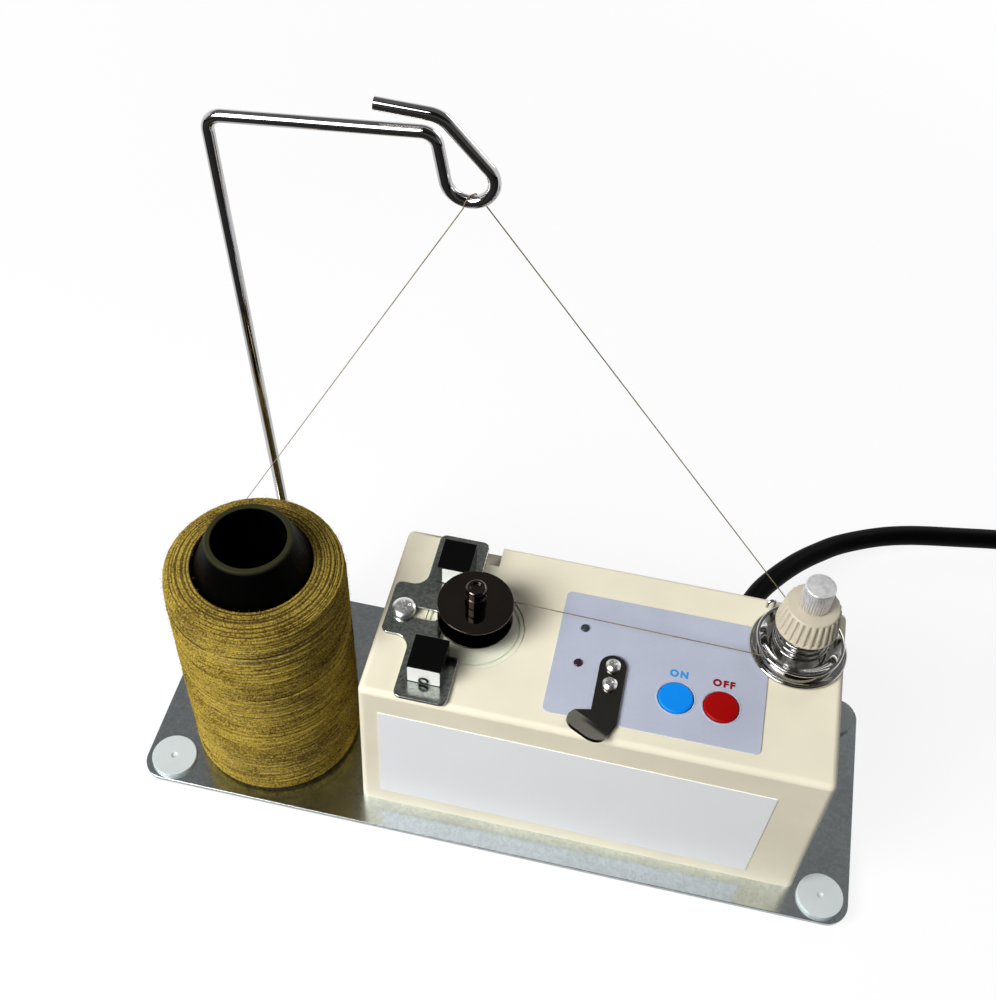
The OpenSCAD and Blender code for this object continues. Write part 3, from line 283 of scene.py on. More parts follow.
# label stock: paper fibre under a clear film, with a few soft bubbles
def paperFinish():
    finish = Finish("whiteLabel", Specular_IOR_Level=0.3, Coat_Weight=0.12, Coat_Roughness=0.22)
    fibre = finish.noise(0.4, 4, vector=finish.stretched((1, 1, 2.2)))
    cloud = finish.noise(22, 3)
    bubble = finish.noise(7, 2)
    tone = cloud * 0.6 + fibre * 0.4
    finish.set(Base_Color=finish.ramp(tone, (0.3, (0.915, 0.925, 0.93)), (0.7, (0.95, 0.96, 0.965))))
    finish.set(Roughness=0.4 + 0.2 * fibre)
    return finish.bump(fibre * 0.1 + bubble * 0.9, 0.12, 0.35)


# spun thread: fuzzy grain, thread to thread changes and broad bands of dye
def yarnFinish(name, dark, pale, depth):
    finish = Finish(name, Roughness=0.85, Sheen_Weight=0.08, Sheen_Roughness=0.4, Specular_IOR_Level=0.1)
    fuzz = finish.noise(0.5, 3, 0.7)
    thread = finish.noise(2.2, 3, 0.65, finish.stretched((0.3, 0.3, 2.6)))
    band = finish.noise(13, 2, 0.5, finish.stretched((0.7, 0.7, 1.5)))
    tone = fuzz * 0.6 + thread * 0.18 + band * 0.22
    finish.set(Base_Color=finish.ramp(tone, (0.41, dark), (0.58, pale)))
    return finish.bump(fuzz, depth, 0.9)


# moulded tube: near black, with a painted highlight on its top rim, between two heights
tubeSizes = {"rimHighlightFrom": 94.6, "rimHighlightTo": 95.4, "black": (0.001, 0.001, 0.001), "rimHighlight": (0.035, 0.034, 0.016)}


def tubeFinish():
    s = tubeSizes
    finish = Finish("tubePlastic", Specular_IOR_Level=0.03)
    height = finish.axis("Z", finish.place) * 10  # tenths of a metre, to fit the ramp
    # the paler top rim is a painted highlight, where the light catches the rim
    colour = finish.ramp(height, (s["rimHighlightFrom"] / 100, s["black"]), (s["rimHighlightTo"] / 100, s["rimHighlight"]))
    finish.set(Base_Color=colour, Roughness=0.3 + 0.2 * finish.noise(4, 3))
    return finish.bump(finish.noise(0.6, 2), 0.02, 0.5)


# the two lamps, one each side of a line across the panel
def lampFinish(split=-1.9):
    finish = Finish("lampPlastic", Roughness=0.25, Coat_Weight=0.4)
    rear = finish.axis("Y", finish.place).above(split * mm)
    glow = finish.noise(0.8, 2)
    front = finish.ramp(glow, (0.3, (0.016, 0.004, 0.01)), (0.7, (0.06, 0.012, 0.03)))
    back = finish.ramp(glow, (0.3, (0.014, 0.02, 0.018)), (0.7, (0.06, 0.08, 0.075)))
    return finish.set(Base_Color=finish.blend(rear, front, back))


def nylonFinish(name, colour):
    return plasticFinish(name, colour, rough=0.34, grain=0.5, depth=0.02, Subsurface_Weight=0.25,
                         Subsurface_Scale=mm, Subsurface_Radius=(1, 1, 1))


tensionAxis = (74.8, 10.8)
finishes = {
    "galvanised_steel": zincFinish("galvanisedSteel", (0.72, 0.78, 0.8), rough=0.12, flake=0.9, fleck=0.12),
    "bright_steel": metalFinish("brightSteel", (0.9, 0.9, 0.88), rough=0.22, spread=0.16),
    "chrome_wire": metalFinish("chromeWire", (0.56, 0.545, 0.545), rough=0.02, spread=0.04),
    "spring_steel": metalFinish("springSteel", (0.36, 0.35, 0.335), rough=0.04, spread=0.05),
    # bright nickel, its colour darkened as a painted reflection of the dark room it mirrors
    "black_nickel": metalFinish("darkPaintedNickel", (0.085, 0.07, 0.06), rough=0.03, spread=0.05),
    "zinc_sheet": zincFinish("zincSheet", (0.47, 0.5, 0.46), rough=0.1, flake=0.7, fleck=0.34),
    "turned_aluminium": turnedFinish("turnedAluminium", (0.93, 0.93, 0.92), rough=0.44, centre=tensionAxis),
    "cream_plastic": plasticFinish("creamPlastic", (0.88, 0.82, 0.64), rough=0.48, grain=0.22, depth=0.03,
                                   gloss=0.35),
    "white_nylon": nylonFinish("whiteNylon", (0.62, 0.67, 0.67)),
    "white_label": paperFinish(),
    "grey_film": filmFinish(),
    "blue_plastic": plasticFinish("bluePlastic", (0.004, 0.26, 0.88), rough=0.4, grain=0.3, depth=0.02,
                                  gloss=0.12),
    "red_plastic": plasticFinish("redPlastic", (0.37, 0.002, 0.002), rough=0.4, grain=0.3, depth=0.02,
                                 gloss=0.12),
    "lamp_plastic": lampFinish(),
    "window_plastic": plasticFinish("windowPlastic", (0.2, 0.012, 0.016), rough=0.2, grain=0.4, depth=0.01),
    "black_gloss": plasticFinish("blackGloss", (0.002, 0.002, 0.002), rough=0.16, grain=0.4, depth=0.006,
                                 gloss=0.15),
    "black_plastic": plasticFinish("blackPlastic", (0.006, 0.006, 0.005), rough=0.36, grain=0.35, depth=0.03,
                                   gloss=0.25),
    "board_green": plasticFinish("boardGreen", (0.03, 0.2, 0.08), rough=0.3, grain=0.5, depth=0.02),
    "motor_steel": metalFinish("motorSteel", (0.5, 0.5, 0.5), rough=0.25, spread=0.2),
    "coil_tape": plasticFinish("coilTape", (0.6, 0.45, 0.14), rough=0.4, grain=0.5, depth=0.02),
    "thread_yarn": yarnFinish("threadYarn", (0.08, 0.045, 0.006), (0.5, 0.365, 0.06), depth=0.2),
    "cord_rubber": plasticFinish("cordRubber", (0.001, 0.001, 0.001), rough=0.5, grain=0.5, depth=0.03,
                                 gloss=0.05),
    "tie_fabric": yarnFinish("tieFabric", (0.006, 0.006, 0.006), (0.03, 0.03, 0.03), depth=0.06),
}
# finishes of single pieces that differ from their slot's
bushFinish = nylonFinish("bushNylon", (0.87, 0.88, 0.71))
knobFinish = plasticFinish("knobPlastic", (0.59, 0.53, 0.41), rough=0.42, grain=0.25, depth=0.03)
discFinish = metalFinish("discChrome", (0.56, 0.55, 0.53), rough=0.03, spread=0.04, wave=0.03)
# the cutter's chrome, its colour darkened as a painted reflection of the dark room
bladeDarkReflectionFinish = metalFinish("bladePaintedDarkChrome", (0.135, 0.13, 0.11), rough=0.04, spread=0.05, wave=0.06)
# white plates on the sensor fronts: a painted reflection of the white surroundings in the blocks' fronts
faceReflectionFinish = plasticFinish("paintedReflectionWhite", (0.92, 0.92, 0.89), rough=0.28, grain=0.5, depth=0.02)
leadFinish = plasticFinish("leadBlack", (0.006, 0.006, 0.006), rough=0.35, grain=0.3, depth=0.02)
# the cone's core: the yarn darkened as painted shade in the grooves between the turns
grooveShadeFinish = yarnFinish("threadShade", (0.035, 0.022, 0.004), (0.14, 0.095, 0.02), depth=0.06)
strandFinish = yarnFinish("threadStrand", (0.14, 0.105, 0.06), (0.33, 0.26, 0.16), depth=0.04)
inkBlue = plasticFinish("blueInk", (0.03, 0.3, 0.74), rough=0.5, grain=0.2, depth=0.01, gloss=0.2)
inkRed = plasticFinish("redInk", (0.25, 0.004, 0.009), rough=0.5, grain=0.2, depth=0.01, gloss=0.2)
pieceFinishes = {"thread_cutter": bladeDarkReflectionFinish, "cone_tube": tubeFinish()}
print("finishes made:", len(bpy.data.materials))


# a piece: its mesh, what it rides on, its finish and the nodes it stands for
def addPiece(name, mesh, body, slot, finish=None, stands=()):
    mesh.materials.clear()
    mesh.materials.append((finish or finishes[slot]).material)
    piece = newObject(name, mesh)
    settle(piece, body, stands)
    return piece


def settle(piece, body, stands):
    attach(piece, body)
    if stands:
        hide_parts(*stands)


# edges that turn more than this stay sharp, degrees
sharpAngles = {"plain": 38, "rounded": 50, "ribbed": 45, "fibre": 80}


def smoothMesh(mesh, kind="plain"):
    mesh.shade_smooth()
    mesh.set_sharp_from_angle(angle=math.radians(sharpAngles[kind]))
    return mesh


def evaluated(source):
    bpy.context.view_layer.update()
    return bpy.data.meshes.new_from_object(source.evaluated_get(bpy.context.evaluated_depsgraph_get()))


def meshOf(work, name):
    mesh = bpy.data.meshes.new(name)
    work.to_mesh(mesh)
    work.free()
    return mesh


def joined(meshes, kind):
    work = bmesh.new()
    for mesh in meshes:
        work.from_mesh(mesh)
    return smoothMesh(meshOf(work, "joined"), kind)


# Geometry Nodes: a tree from its inputs, nodes and links, which ends in real faces with one finish
def makeTree(name, inputs, nodes, links, last):
    tree = bpy.data.node_groups.new(name, "GeometryNodeTree")
    for label, kind in {"Geometry": "Geometry", **inputs, "Finish": "Material"}.items():
        tree.interface.new_socket(label, in_out="INPUT", socket_type="NodeSocket" + kind)
    tree.interface.new_socket("Geometry", in_out="OUTPUT", socket_type="NodeSocketGeometry")
    kinds = {"in": "NodeGroupInput", "real": "GeometryNodeRealizeInstances", "skin": "GeometryNodeSetMaterial",
             "out": "NodeGroupOutput", **{label: kind for label, (kind, settings, values) in nodes.items()}}
    made = {label: tree.nodes.new(kind) for label, kind in kinds.items()}
    for label, (kind, settings, values) in nodes.items():
        for key, value in settings.items():
            setattr(made[label], key, value)
        for key, value in values.items():
            made[label].inputs[key].default_value = value
    closing = [(last, ("real", 0)), (("real", 0), ("skin", 0)), (("in", "Finish"), ("skin", "Material")),
               (("skin", 0), ("out", 0))]
    for source, target in links + closing:
        tree.links.new(made[source[0]].outputs[source[1]], made[target[0]].inputs[target[1]])
    return tree


# a round wire along a path
alongPath = makeTree(
    "wireAlongPath", {"Wire radius": "Float", "Sides": "Int"},
    {"ring": ("GeometryNodeCurvePrimitiveCircle", {}, {}),
     "tube": ("GeometryNodeCurveToMesh", {}, {"Fill Caps": True})},
    [(("in", "Geometry"), ("tube", "Curve")), (("in", "Wire radius"), ("ring", "Radius")),
     (("in", "Sides"), ("ring", "Resolution")), (("ring", "Curve"), ("tube", "Profile Curve"))],
    ("tube", "Mesh"))

# one shape set round the upright axis
roundAxis = makeTree(
    "shapeRoundAxis", {"Count": "Int"},
    {"points": ("GeometryNodePoints", {}, {}),
     "index": ("GeometryNodeInputIndex", {}, {}),
     "step": ("ShaderNodeMath", {"operation": "DIVIDE"}, {0: 2 * math.pi}),
     "turn": ("ShaderNodeMath", {"operation": "MULTIPLY"}, {}),
     "spin": ("ShaderNodeCombineXYZ", {}, {}),
     "set": ("GeometryNodeInstanceOnPoints", {}, {})},
    [(("in", "Count"), ("points", "Count")), (("in", "Count"), ("step", 1)), (("index", 0), ("turn", 0)),
     (("step", 0), ("turn", 1)), (("turn", 0), ("spin", "Z")), (("points", 0), ("set", "Points")),
     (("in", "Geometry"), ("set", "Instance")), (("spin", 0), ("set", "Rotation"))],
    ("set", "Instances"))

# short loose fibres over a surface: one bent hair, tilted, turned and sized at random between two limits
hairShape = {"Resolution": 4, "Start": (0, 0, 0), "Middle": (0.5, 0, 0.1), "End": (0.85, 0, 0.55)}
hairTurn = {0: (-0.25, -0.25, 0), 1: (0.25, 0.25, 2 * math.pi), "Seed": 7}
hairScale = {2: 0.45, 3: 1.2, "Seed": 9}
fibresOver = makeTree(
    "fibresOverSurface", {"Density": "Float", "Length": "Float", "Fibre radius": "Float"},
    {"spread": ("GeometryNodeDistributePointsOnFaces", {}, {"Seed": 4}),
     "hair": ("GeometryNodeCurveQuadraticBezier", {}, hairShape),
     "grow": ("GeometryNodeTransform", {}, {}),
     "ring": ("GeometryNodeCurvePrimitiveCircle", {}, {"Resolution": 3}),
     "tube": ("GeometryNodeCurveToMesh", {}, {"Fill Caps": True}),
     "spin": ("FunctionNodeRandomValue", {"data_type": "FLOAT_VECTOR"}, hairTurn),
     "turn": ("FunctionNodeRotateRotation", {"rotation_space": "LOCAL"}, {}),
     "size": ("FunctionNodeRandomValue", {"data_type": "FLOAT"}, hairScale),
     "set": ("GeometryNodeInstanceOnPoints", {}, {})},
    [(("in", "Geometry"), ("spread", "Mesh")), (("in", "Density"), ("spread", "Density")),
     (("in", "Length"), ("grow", "Scale")), (("hair", 0), ("grow", "Geometry")),
     (("in", "Fibre radius"), ("ring", "Radius")), (("grow", 0), ("tube", "Curve")),
     (("ring", "Curve"), ("tube", "Profile Curve")), (("spread", "Points"), ("set", "Points")),
     (("tube", 0), ("set", "Instance")), (("spread", "Rotation"), ("turn", "Rotation")),
     (("spin", 0), ("turn", "Rotate By")), (("turn", 0), ("set", "Rotation")), (("size", 1), ("set", "Scale"))],
    ("set", "Instances"))


def throughNodes(data, tree, **values):
    source = newObject("source", data)
    change = source.modifiers.new("shape", "NODES")
    change.node_group = tree
    sockets = {s.name: s.identifier for s in tree.interface.items_tree if s.in_out == "INPUT"}
    for name, value in values.items():
        change[sockets[name.replace("_", " ")]] = value
    mesh = evaluated(source)
    source.modifiers.remove(change)
    bpy.data.objects.remove(source)
    return mesh


def pathCurve(name, points, closed=False):
    data = bpy.data.curves.new(name, "CURVE")
    data.dimensions = "3D"
    line = data.splines.new("POLY")
    line.points.add(len(points) - 1)
    for spot, p in zip(line.points, points):
        spot.co = (p[0] * mm, p[1] * mm, p[2] * mm, 1)
    line.use_cyclic_u = closed
    return data


def wireMesh(points, thick, sides, finish, closed=False):
    data = pathCurve("path", points, closed)
    mesh = throughNodes(data, alongPath, Wire_radius=thick / 2 * mm, Sides=sides, Finish=finish.material)
    return smoothMesh(mesh, "rounded")


# a smooth curve through the points, with so many steps between each two
def smoothed(points, steps):
    made = []
    for i in range(len(points) - 1):
        a, b, c, d = (Vector(points[min(max(k, 0), len(points) - 1)]) for k in (i - 1, i, i + 1, i + 2))
        for s in range(steps):
            t = s / steps
            bend = (2 * a - 5 * b + 4 * c - d) * t ** 2 + (3 * b - a - 3 * c + d) * t ** 3
            made.append(0.5 * (2 * b + (c - a) * t + bend))
    return made + [Vector(points[-1])]


# power cord: out of the housing, in turns of a coil inwards and then back out on top, and to the plug
cordSizes = {
    "thick": 6.8, "coilAt": (204, 73), "coilRadius": 46, "coilStep": 7.4, "coilTurns": 3, "coilFoot": 4.5,
    "climbLead": 0.25, "climbTurns": 0.5, "ringPoints": 48, "steps": 4, "bevel": 5,
}
cordRun = [
    (65, 48.4, 13.5), (65, 50.4, 13.5), (65.6, 56, 13.4), (67.3, 62, 13.2), (70.2, 68.2, 13), (74.6, 74.8, 12.6),
    (78.4, 79.8, 12.1), (82.5, 84.6, 11.5), (88, 90, 10.7), (95.6, 96.3, 9.8), (107.9, 103.3, 8.7),
    (120.4, 108, 7.8), (137.1, 111.8, 7), (149, 114.3, 6.5), (160, 116.2, 5.9), (172, 117.9, 5.2),
    (182, 118.8, 4.7), (190.2, 119, 4.5), (197.2, 119, 4.5),
]
cordTail = [
    (210.8, 119, 11.9), (218.8, 119, 11.9), (230, 118, 10.4), (241, 114.7, 8.2), (251.3, 111, 7),
    (253.2, 110.3, 7),
]


def coilPoints():
    s = cordSizes
    turns = 2 * s["coilTurns"]
    for i in range(turns * s["ringPoints"] + 1):
        t = i / s["ringPoints"]
        radius = s["coilRadius"] - s["coilStep"] * min(t, turns - t)
        climb = limited((t - s["coilTurns"] + s["climbLead"]) / s["climbTurns"])
        c, u = onCircle(90 - 360 * t)
        yield s["coilAt"][0] + radius * c, s["coilAt"][1] + radius * u, s["coilFoot"] + s["coilStep"] * climb


def makeCord(withPieces):
    s = cordSizes
    coil = list(coilPoints())
    lead = smoothed(cordRun + [coil[0]], s["steps"])[:-1]
    tail = smoothed([coil[-1]] + cordTail, s["steps"])[1:]
    route = lead + [Vector(p) for p in coil] + tail
    data = pathCurve("powerCord", route)
    data.bevel_depth = s["thick"] / 2 * mm
    data.bevel_resolution = s["bevel"]
    data.use_fill_caps = True
    data.materials.append(finishes["cord_rubber"].material)
    cord = newObject("powerCord", data)
    settle(cord, "frame", ("power_cord", "cord_coil", "cord_tail"))
    length = sum((b - a).length for a, b in zip(route, route[1:])) * mm
    tuple(route[0] * mm)
    print("cord made: %.3f m" % length)


# nodes that keep their own shape: each one's piece, and how far its edges are rounded
dressed = {
    "cord_gland": ("strainRelief", 0.5),
    "cord_tie": ("cordTie", 0.2),
    "plug_body": ("plugBody", 0.9),
    "plug_blades": ("plugBlades", 0.25),
    "base_plate": ("basePlate", 0.3),
    "corner_feet": ("cornerFeet", 0.45),
    "housing_shell": ("housing", 0),
    "front_label": ("frontLabel", 0),
    "control_overlay": ("panelFilm", 0.08),
    "start_button": ("startButton", 0.2),
    "stop_button": ("stopButton", 0.2),
    "bobbin_spindle": ("bobbinPost", 0.2),
    "bobbin": ("bobbinShell", 0.16),
    "sensor_bracket": ("sensorBracket", 0.24),
    "front_sensor": ("frontSensor", 0.25),
    "rear_sensor": ("rearSensor", 0.25),
    "sensor_windows": ("sensorWindows", 0.1),
    "cutter_screws": ("cutterScrews", 0.1),
    "tension_stud": ("tensionStud", 0.15),
    "spring_washer": ("springWasher", 0.12),
    "stand_nuts": ("standNuts", 0.2),
    "indicator_lamps": ("indicatorLamps", 0.3),
    "housing_screws": ("housingScrews", 0.1),
    "transformer_screws": ("transformerScrews", 0.1),
    "spool_screw": ("spoolScrew", 0.1),
    "thread_cutter": ("threadCutter", 0.16),
    "cone_tube": ("coneTube", 0.4),
}
cordNodes = ("cord_gland", "cord_tie", "plug_body", "plug_blades")
edgeSizes = {"merge": 0.002, "flatAngle": 0.6, "sharpAngle": 32, "segments": 2, "faceWeight": 100}


def nodeCopy(node, edge):
    s = edgeSizes
    mesh = frame["nodes"][node].data.copy()
    work = bmesh.new()
    work.from_mesh(mesh)
    bmesh.ops.remove_doubles(work, verts=work.verts, dist=s["merge"] * mm)
    bmesh.ops.dissolve_limit(work, angle_limit=math.radians(s["flatAngle"]), verts=work.verts, edges=work.edges)
    if edge:
        sharp = math.radians(s["sharpAngle"])
        corners = [e for e in work.edges if len(e.link_faces) == 2 and e.calc_face_angle(0) > sharp]
        bmesh.ops.bevel(work, geom=corners, offset=edge * mm, offset_type="OFFSET", segments=s["segments"],
                        profile=0.5, affect="EDGES", clamp_overlap=True)
    work.to_mesh(mesh)
    work.free()
    return flatLit(smoothMesh(mesh, "rounded" if edge else "plain"))


# large faces keep their own normals, so that they look flat in the light
def flatLit(mesh):
    source = newObject("source", mesh)
    change = source.modifiers.new("even", "WEIGHTED_NORMAL")
    change.keep_sharp = True
    change.weight = edgeSizes["faceWeight"]
    made = evaluated(source)
    bpy.data.objects.remove(source)
    return made


def dressNode(node):
    name, edge = dressed[node]
    finish = pieceFinishes.get(node)
    return addPiece(name, nodeCopy(node, edge), bodyOfNode[node], slotOfNode[node], finish, (node,))


makeCord([dressNode(node) for node in cordNodes])
for node in dressed:
    if node not in cordNodes:
        dressNode(node)
print("solids dressed")

# bent wires: each step is a straight length, then a turn in degrees at a bend radius
standSizes = {
    "thick": 3, "foot": (-75.7, 30, 0.4), "turn": 0, "sides": 20, "bendStep": 7.5,
    "steps": [(18.1, 2.4, 40), (168, -87, 4), (45, -84.8, 3.5), (8.9, 212.3, 5.6), (13, 45.2, 6), (12, 0, 0)],
}
hookSizes = {
    "thick": 0.9, "foot": (67.3, 22.8, 63), "turn": 30, "sides": 12, "bendStep": 7.5,
    "steps": [(4.5, 180, 1.1), (1.2, 0, 0)],
}


def bentPath(steps, bendStep, closest=1e-4):
    at, heading, points = Vector((0, 0)), 90, []
    for straight, turn, radius in steps:
        points.append(at.copy())
        c, u = onCircle(heading)
        r = math.copysign(radius, turn)
        at = at + straight * Vector((c, u))
        hub = at + r * Vector((-u, c))
        count = math.ceil(abs(turn) / bendStep)
        for k in range(count):
            c, u = onCircle(heading + turn * k / count)
            points.append(hub + r * Vector((u, -c)))
        heading += turn
        if count:
            c, u = onCircle(heading)
            at = hub + r * Vector((u, -c))
    return [p for p, q in zip(points, points[1:]) if (q - p).length > closest] + [points[-1], at]


def bentWire(name, sizes, node):
    c, u = onCircle(sizes["turn"])
    x, y, z = sizes["foot"]
    points = [(x + p[0] * c, y + p[0] * u, z + p[1]) for p in bentPath(sizes["steps"], sizes["bendStep"])]
    mesh = wireMesh(points, sizes["thick"], sizes["sides"], finishes["chrome_wire"])
    addPiece(name, mesh, "frame", "chrome_wire", stands=(node,))


bentWire("threadStand", standSizes, "thread_stand")
bentWire("threadHook", hookSizes, "thread_hook")

# tension spring, coiled at its rest length; the knob's travel squeezes it in use
springSizes = {
    "foot": 67.9, "tall": 8, "footRadius": 7.55, "headRadius": 5.55, "thick": 0.9, "curls": 4, "seat": 0.75,
    "travel": 2.25, "curlPoints": 40, "sides": 12,
}


def springPath():
    s = springSizes
    count = s["curls"] * s["curlPoints"]
    for i in range(count + 1):
        t = i / count
        r = s["footRadius"] + (s["headRadius"] - s["footRadius"]) * t
        a = 2 * math.pi * s["curls"] * t
        rise = s["foot"] + s["seat"] + (s["tall"] - 2 * s["seat"]) * t
        yield tensionAxis[0] + r * math.cos(a), tensionAxis[1] + r * math.sin(a), rise


def makeSpring():
    s = springSizes
    mesh = wireMesh(list(springPath()), s["thick"], s["sides"], finishes["spring_steel"])
    spring = addPiece("tensionSpring", mesh, "frame", "spring_steel", stands=("tension_spring",))
    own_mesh(spring)


makeSpring()
print("wires bent")


# rings of points joined into a closed skin: with a face at each end, or round to the first ring again
def skinMesh(rings, capped):
    work = bmesh.new()
    made = [[work.verts.new((x * mm, y * mm, z * mm)) for x, y, z in ring] for ring in rings]
    for low, high in zip(made, made[1:] if capped else made[1:] + made[:1]):
        count = len(low)
        for k in range(count):
            work.faces.new((low[k], low[(k + 1) % count], high[(k + 1) % count], high[k]))
    if capped:
        work.faces.new(made[0])
        work.faces.new(made[-1])
    bmesh.ops.recalc_face_normals(work, faces=work.faces)
    return meshOf(work, "skin")


# a closed outline of radius and height, turned about an upright axis
def revolve(line, axis, count):
    angles = [2 * math.pi * k / count for k in range(count)]
    rings = [[(axis[0] + r * math.cos(a), axis[1] + r * math.sin(a), z) for a in angles] for r, z in line]
    return smoothMesh(skinMesh(rings, capped=False))


# a straight rib from a foot to a head radius; its crown in shares of depth and width
ribSizes = {
    "crown": [(-1, 0.5), (-0.35, 0.5), (-0.1, 0.4), (0, 0.22)],
    "footBack": 0.3, "footRise": 0.3, "headBack": 0.5, "headDrop": 0.4,
}


def ribMesh(wide, deep, footRadius, headRadius, foot, head):
    s = ribSizes
    half = [(x * deep, y * wide) for x, y in s["crown"]]
    outline = half + [(x, -y) for x, y in reversed(half)]
    ends = [(footRadius - s["footBack"] * deep, foot), (footRadius, foot + s["footRise"]),
            (headRadius, head - s["headDrop"]), (headRadius - s["headBack"] * deep, head)]
    return skinMesh([[(r + x, y, z) for x, y in outline] for r, z in ends], capped=True)


def ribbed(core, rib, count, axis, finish):
    ribs = throughNodes(rib, roundAxis, Count=count, Finish=finish.material)
    ribs.transform(Matrix.Translation((axis[0] * mm, axis[1] * mm, 0)))
    return joined([ribs, core], "ribbed")


def middleOf(node):
    low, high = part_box(node)
    return (low[0] + high[0]) / 2 / mm, (low[1] + high[1]) / 2 / mm, low[2] / mm, high[2] / mm


# spindle bush with a groove inside its rim
bushSizes = {
    "radius": 13.5, "hub": 5.8, "thick": 1.3, "bore": 3.3, "edge": 0.2, "sunk": 0.06, "sides": 128,
    "grooveAt": 12.2, "grooveWide": 0.7, "grooveDeep": 0.8, "grooveFloor": 0.6,
}


def makeBush():
    s = bushSizes
    x, y, low, high = middleOf("spindle_bush")
    under, inside, bottom = high - s["thick"], high - s["sunk"], high - s["grooveDeep"]
    half, floor = s["grooveWide"] / 2, s["grooveWide"] / 2 * s["grooveFloor"]
    line = [(s["bore"], low), (s["hub"], low), (s["hub"], under), (s["radius"], under)]
    line += [(s["radius"], high - s["edge"]), (s["radius"] - s["edge"], high), (s["grooveAt"] + half, high)]
    line += [(s["grooveAt"] + floor, bottom), (s["grooveAt"] - floor, bottom), (s["grooveAt"] - half, inside)]
    line += [(s["bore"] + s["edge"], inside), (s["bore"], inside - s["edge"])]
    mesh = revolve(line, (x, y), s["sides"])
    addPiece("spindleBush", mesh, bodyOfNode["spindle_bush"], "white_nylon", bushFinish, ("spindle_bush",))


# pan-head screw: a dome with a shallow cross sunk in it
screwSizes = {
    "head": 3.25, "tall": 2.2, "side": 1.1, "shank": 1.5, "edge": 0.1, "pole": 0.02, "domeSteps": 24,
    "sides": 96, "crossLong": 1.75, "crossWide": 0.42, "crossDeep": 0.95, "crossClear": 0.022,
    "endSlope": 0.5, "sideSlope": 0.22, "turn": 25,
}


def crossDepth(x, y):
    s = screwSizes
    c, n = onCircle(s["turn"])
    u, v = abs(x * c + y * n), abs(y * c - x * n)
    arms = []
    for far, near in ((u, v), (v, u)):
        end = limited((s["crossLong"] - far) / s["endSlope"])
        arms.append(end * limited((s["crossWide"] - near) / s["sideSlope"]))
    return s["crossDeep"] * max(arms)


def makeScrew():
    s = screwSizes
    x, y, low, high = middleOf("bracket_screw")
    seat, brim = high - s["tall"], high - s["tall"] + s["side"]
    line = [(s["pole"], low), (s["shank"], low), (s["shank"], seat), (s["head"] - s["edge"], seat)]
    line += [(s["head"], seat + s["edge"])]
    for k in range(s["domeSteps"]):
        a = math.pi / 2 * k / s["domeSteps"]
        line.append((s["head"] * math.cos(a), brim + (s["tall"] - s["side"]) * math.sin(a)))
    mesh = revolve(line + [(s["pole"], high)], (x, y), s["sides"])
    for spot in mesh.vertices:
        if spot.co.z > (brim + s["crossClear"]) * mm:
            spot.co.z -= crossDepth(spot.co.x / mm - x, spot.co.y / mm - y) * mm
    node = "bracket_screw"
    addPiece("bracketScrew", smoothMesh(mesh, "rounded"), bodyOfNode[node], slotOfNode[node], stands=(node,))


makeBush()
makeScrew()

# the two dished discs, with rolled rims
discSizes = {
    "thick": 0.7, "flatRadius": 8.5, "bore": 2.4, "rimThick": 1.1, "dishSteps": 8, "dishCurve": 1.4,
    "rollEnd": 120, "rollStep": 20, "sides": 128,
}
discs = {
    "lowerDisc": {"node": "lower_tension_disc", "foot": 65.7, "radius": 13.3, "rise": -0.6},
    "upperDisc": {"node": "upper_tension_disc", "foot": 67.2, "radius": 11.9, "rise": 1.5},
}


def makeDisc(name, own):
    s = discSizes
    rim = s["rimThick"] / 2
    centre = Vector((own["radius"] - rim, own["foot"] + own["rise"] + s["thick"] / 2))
    dish = []
    for k in range(s["dishSteps"]):
        t = k / s["dishSteps"]
        radius = s["flatRadius"] + (centre[0] - s["flatRadius"]) * t
        dish.append((radius, own["foot"] + own["rise"] * t ** s["dishCurve"]))
    roll = [centre + rim * Vector(onCircle(a)) for a in range(s["rollEnd"], -s["rollEnd"] - 1, -s["rollStep"])]
    upper = [(s["bore"], own["foot"] + s["thick"])] + [(r, z + s["thick"]) for r, z in dish]
    line = upper + roll + dish[::-1] + [(s["bore"], own["foot"])]
    addPiece(name, revolve(line, tensionAxis, s["sides"]), "frame", "chrome_wire", discFinish, (own["node"],))


for name, own in discs.items():
    makeDisc(name, own)

# tension knob: ribs between a lip at its foot and a rounded crown
knobSizes = {
    "foot": 76.8, "head": 85.5, "footRadius": 8.4, "headRadius": 7.4, "bore": 2.2, "sides": 104,
    "lip": 0.6, "lipIn": 0.03, "lipEdge": 0.3, "lipRise": 0.25, "groove": 0.6, "shoulder": 0.9, "crown": 0.55,
    "ribs": 26, "ribWide": 1.05, "ribDeep": 0.95, "ribIn": 0.06, "ribDrop": 0.35,
}


def makeKnob():
    s = knobSizes
    hem, lipTop = s["footRadius"] - s["lipIn"], s["foot"] + s["lip"]
    line = [(s["bore"], s["foot"]), (hem - s["lipEdge"], s["foot"])]
    line += [(hem, s["foot"] + s["lipRise"]), (hem, lipTop)]
    line += [(s["footRadius"] - s["groove"], lipTop + s["lipRise"])]
    line += [(s["headRadius"] - s["groove"], s["head"] - s["shoulder"])]
    for c, u in map(onCircle, (0, 30, 60, 90)):
        radius = s["headRadius"] - s["shoulder"] + s["crown"] * c
        line.append((radius, s["head"] - s["crown"] + s["crown"] * u))
    line.append((s["bore"], s["head"]))
    rib = ribMesh(s["ribWide"], s["ribDeep"], s["footRadius"], s["headRadius"] - s["ribIn"], s["foot"],
                  s["head"] - s["ribDrop"])
    mesh = ribbed(revolve(line, tensionAxis, s["sides"]), rib, s["ribs"], tensionAxis, knobFinish)
    addPiece("tensionKnob", mesh, "knob", "cream_plastic", knobFinish, ("tension_knob",))


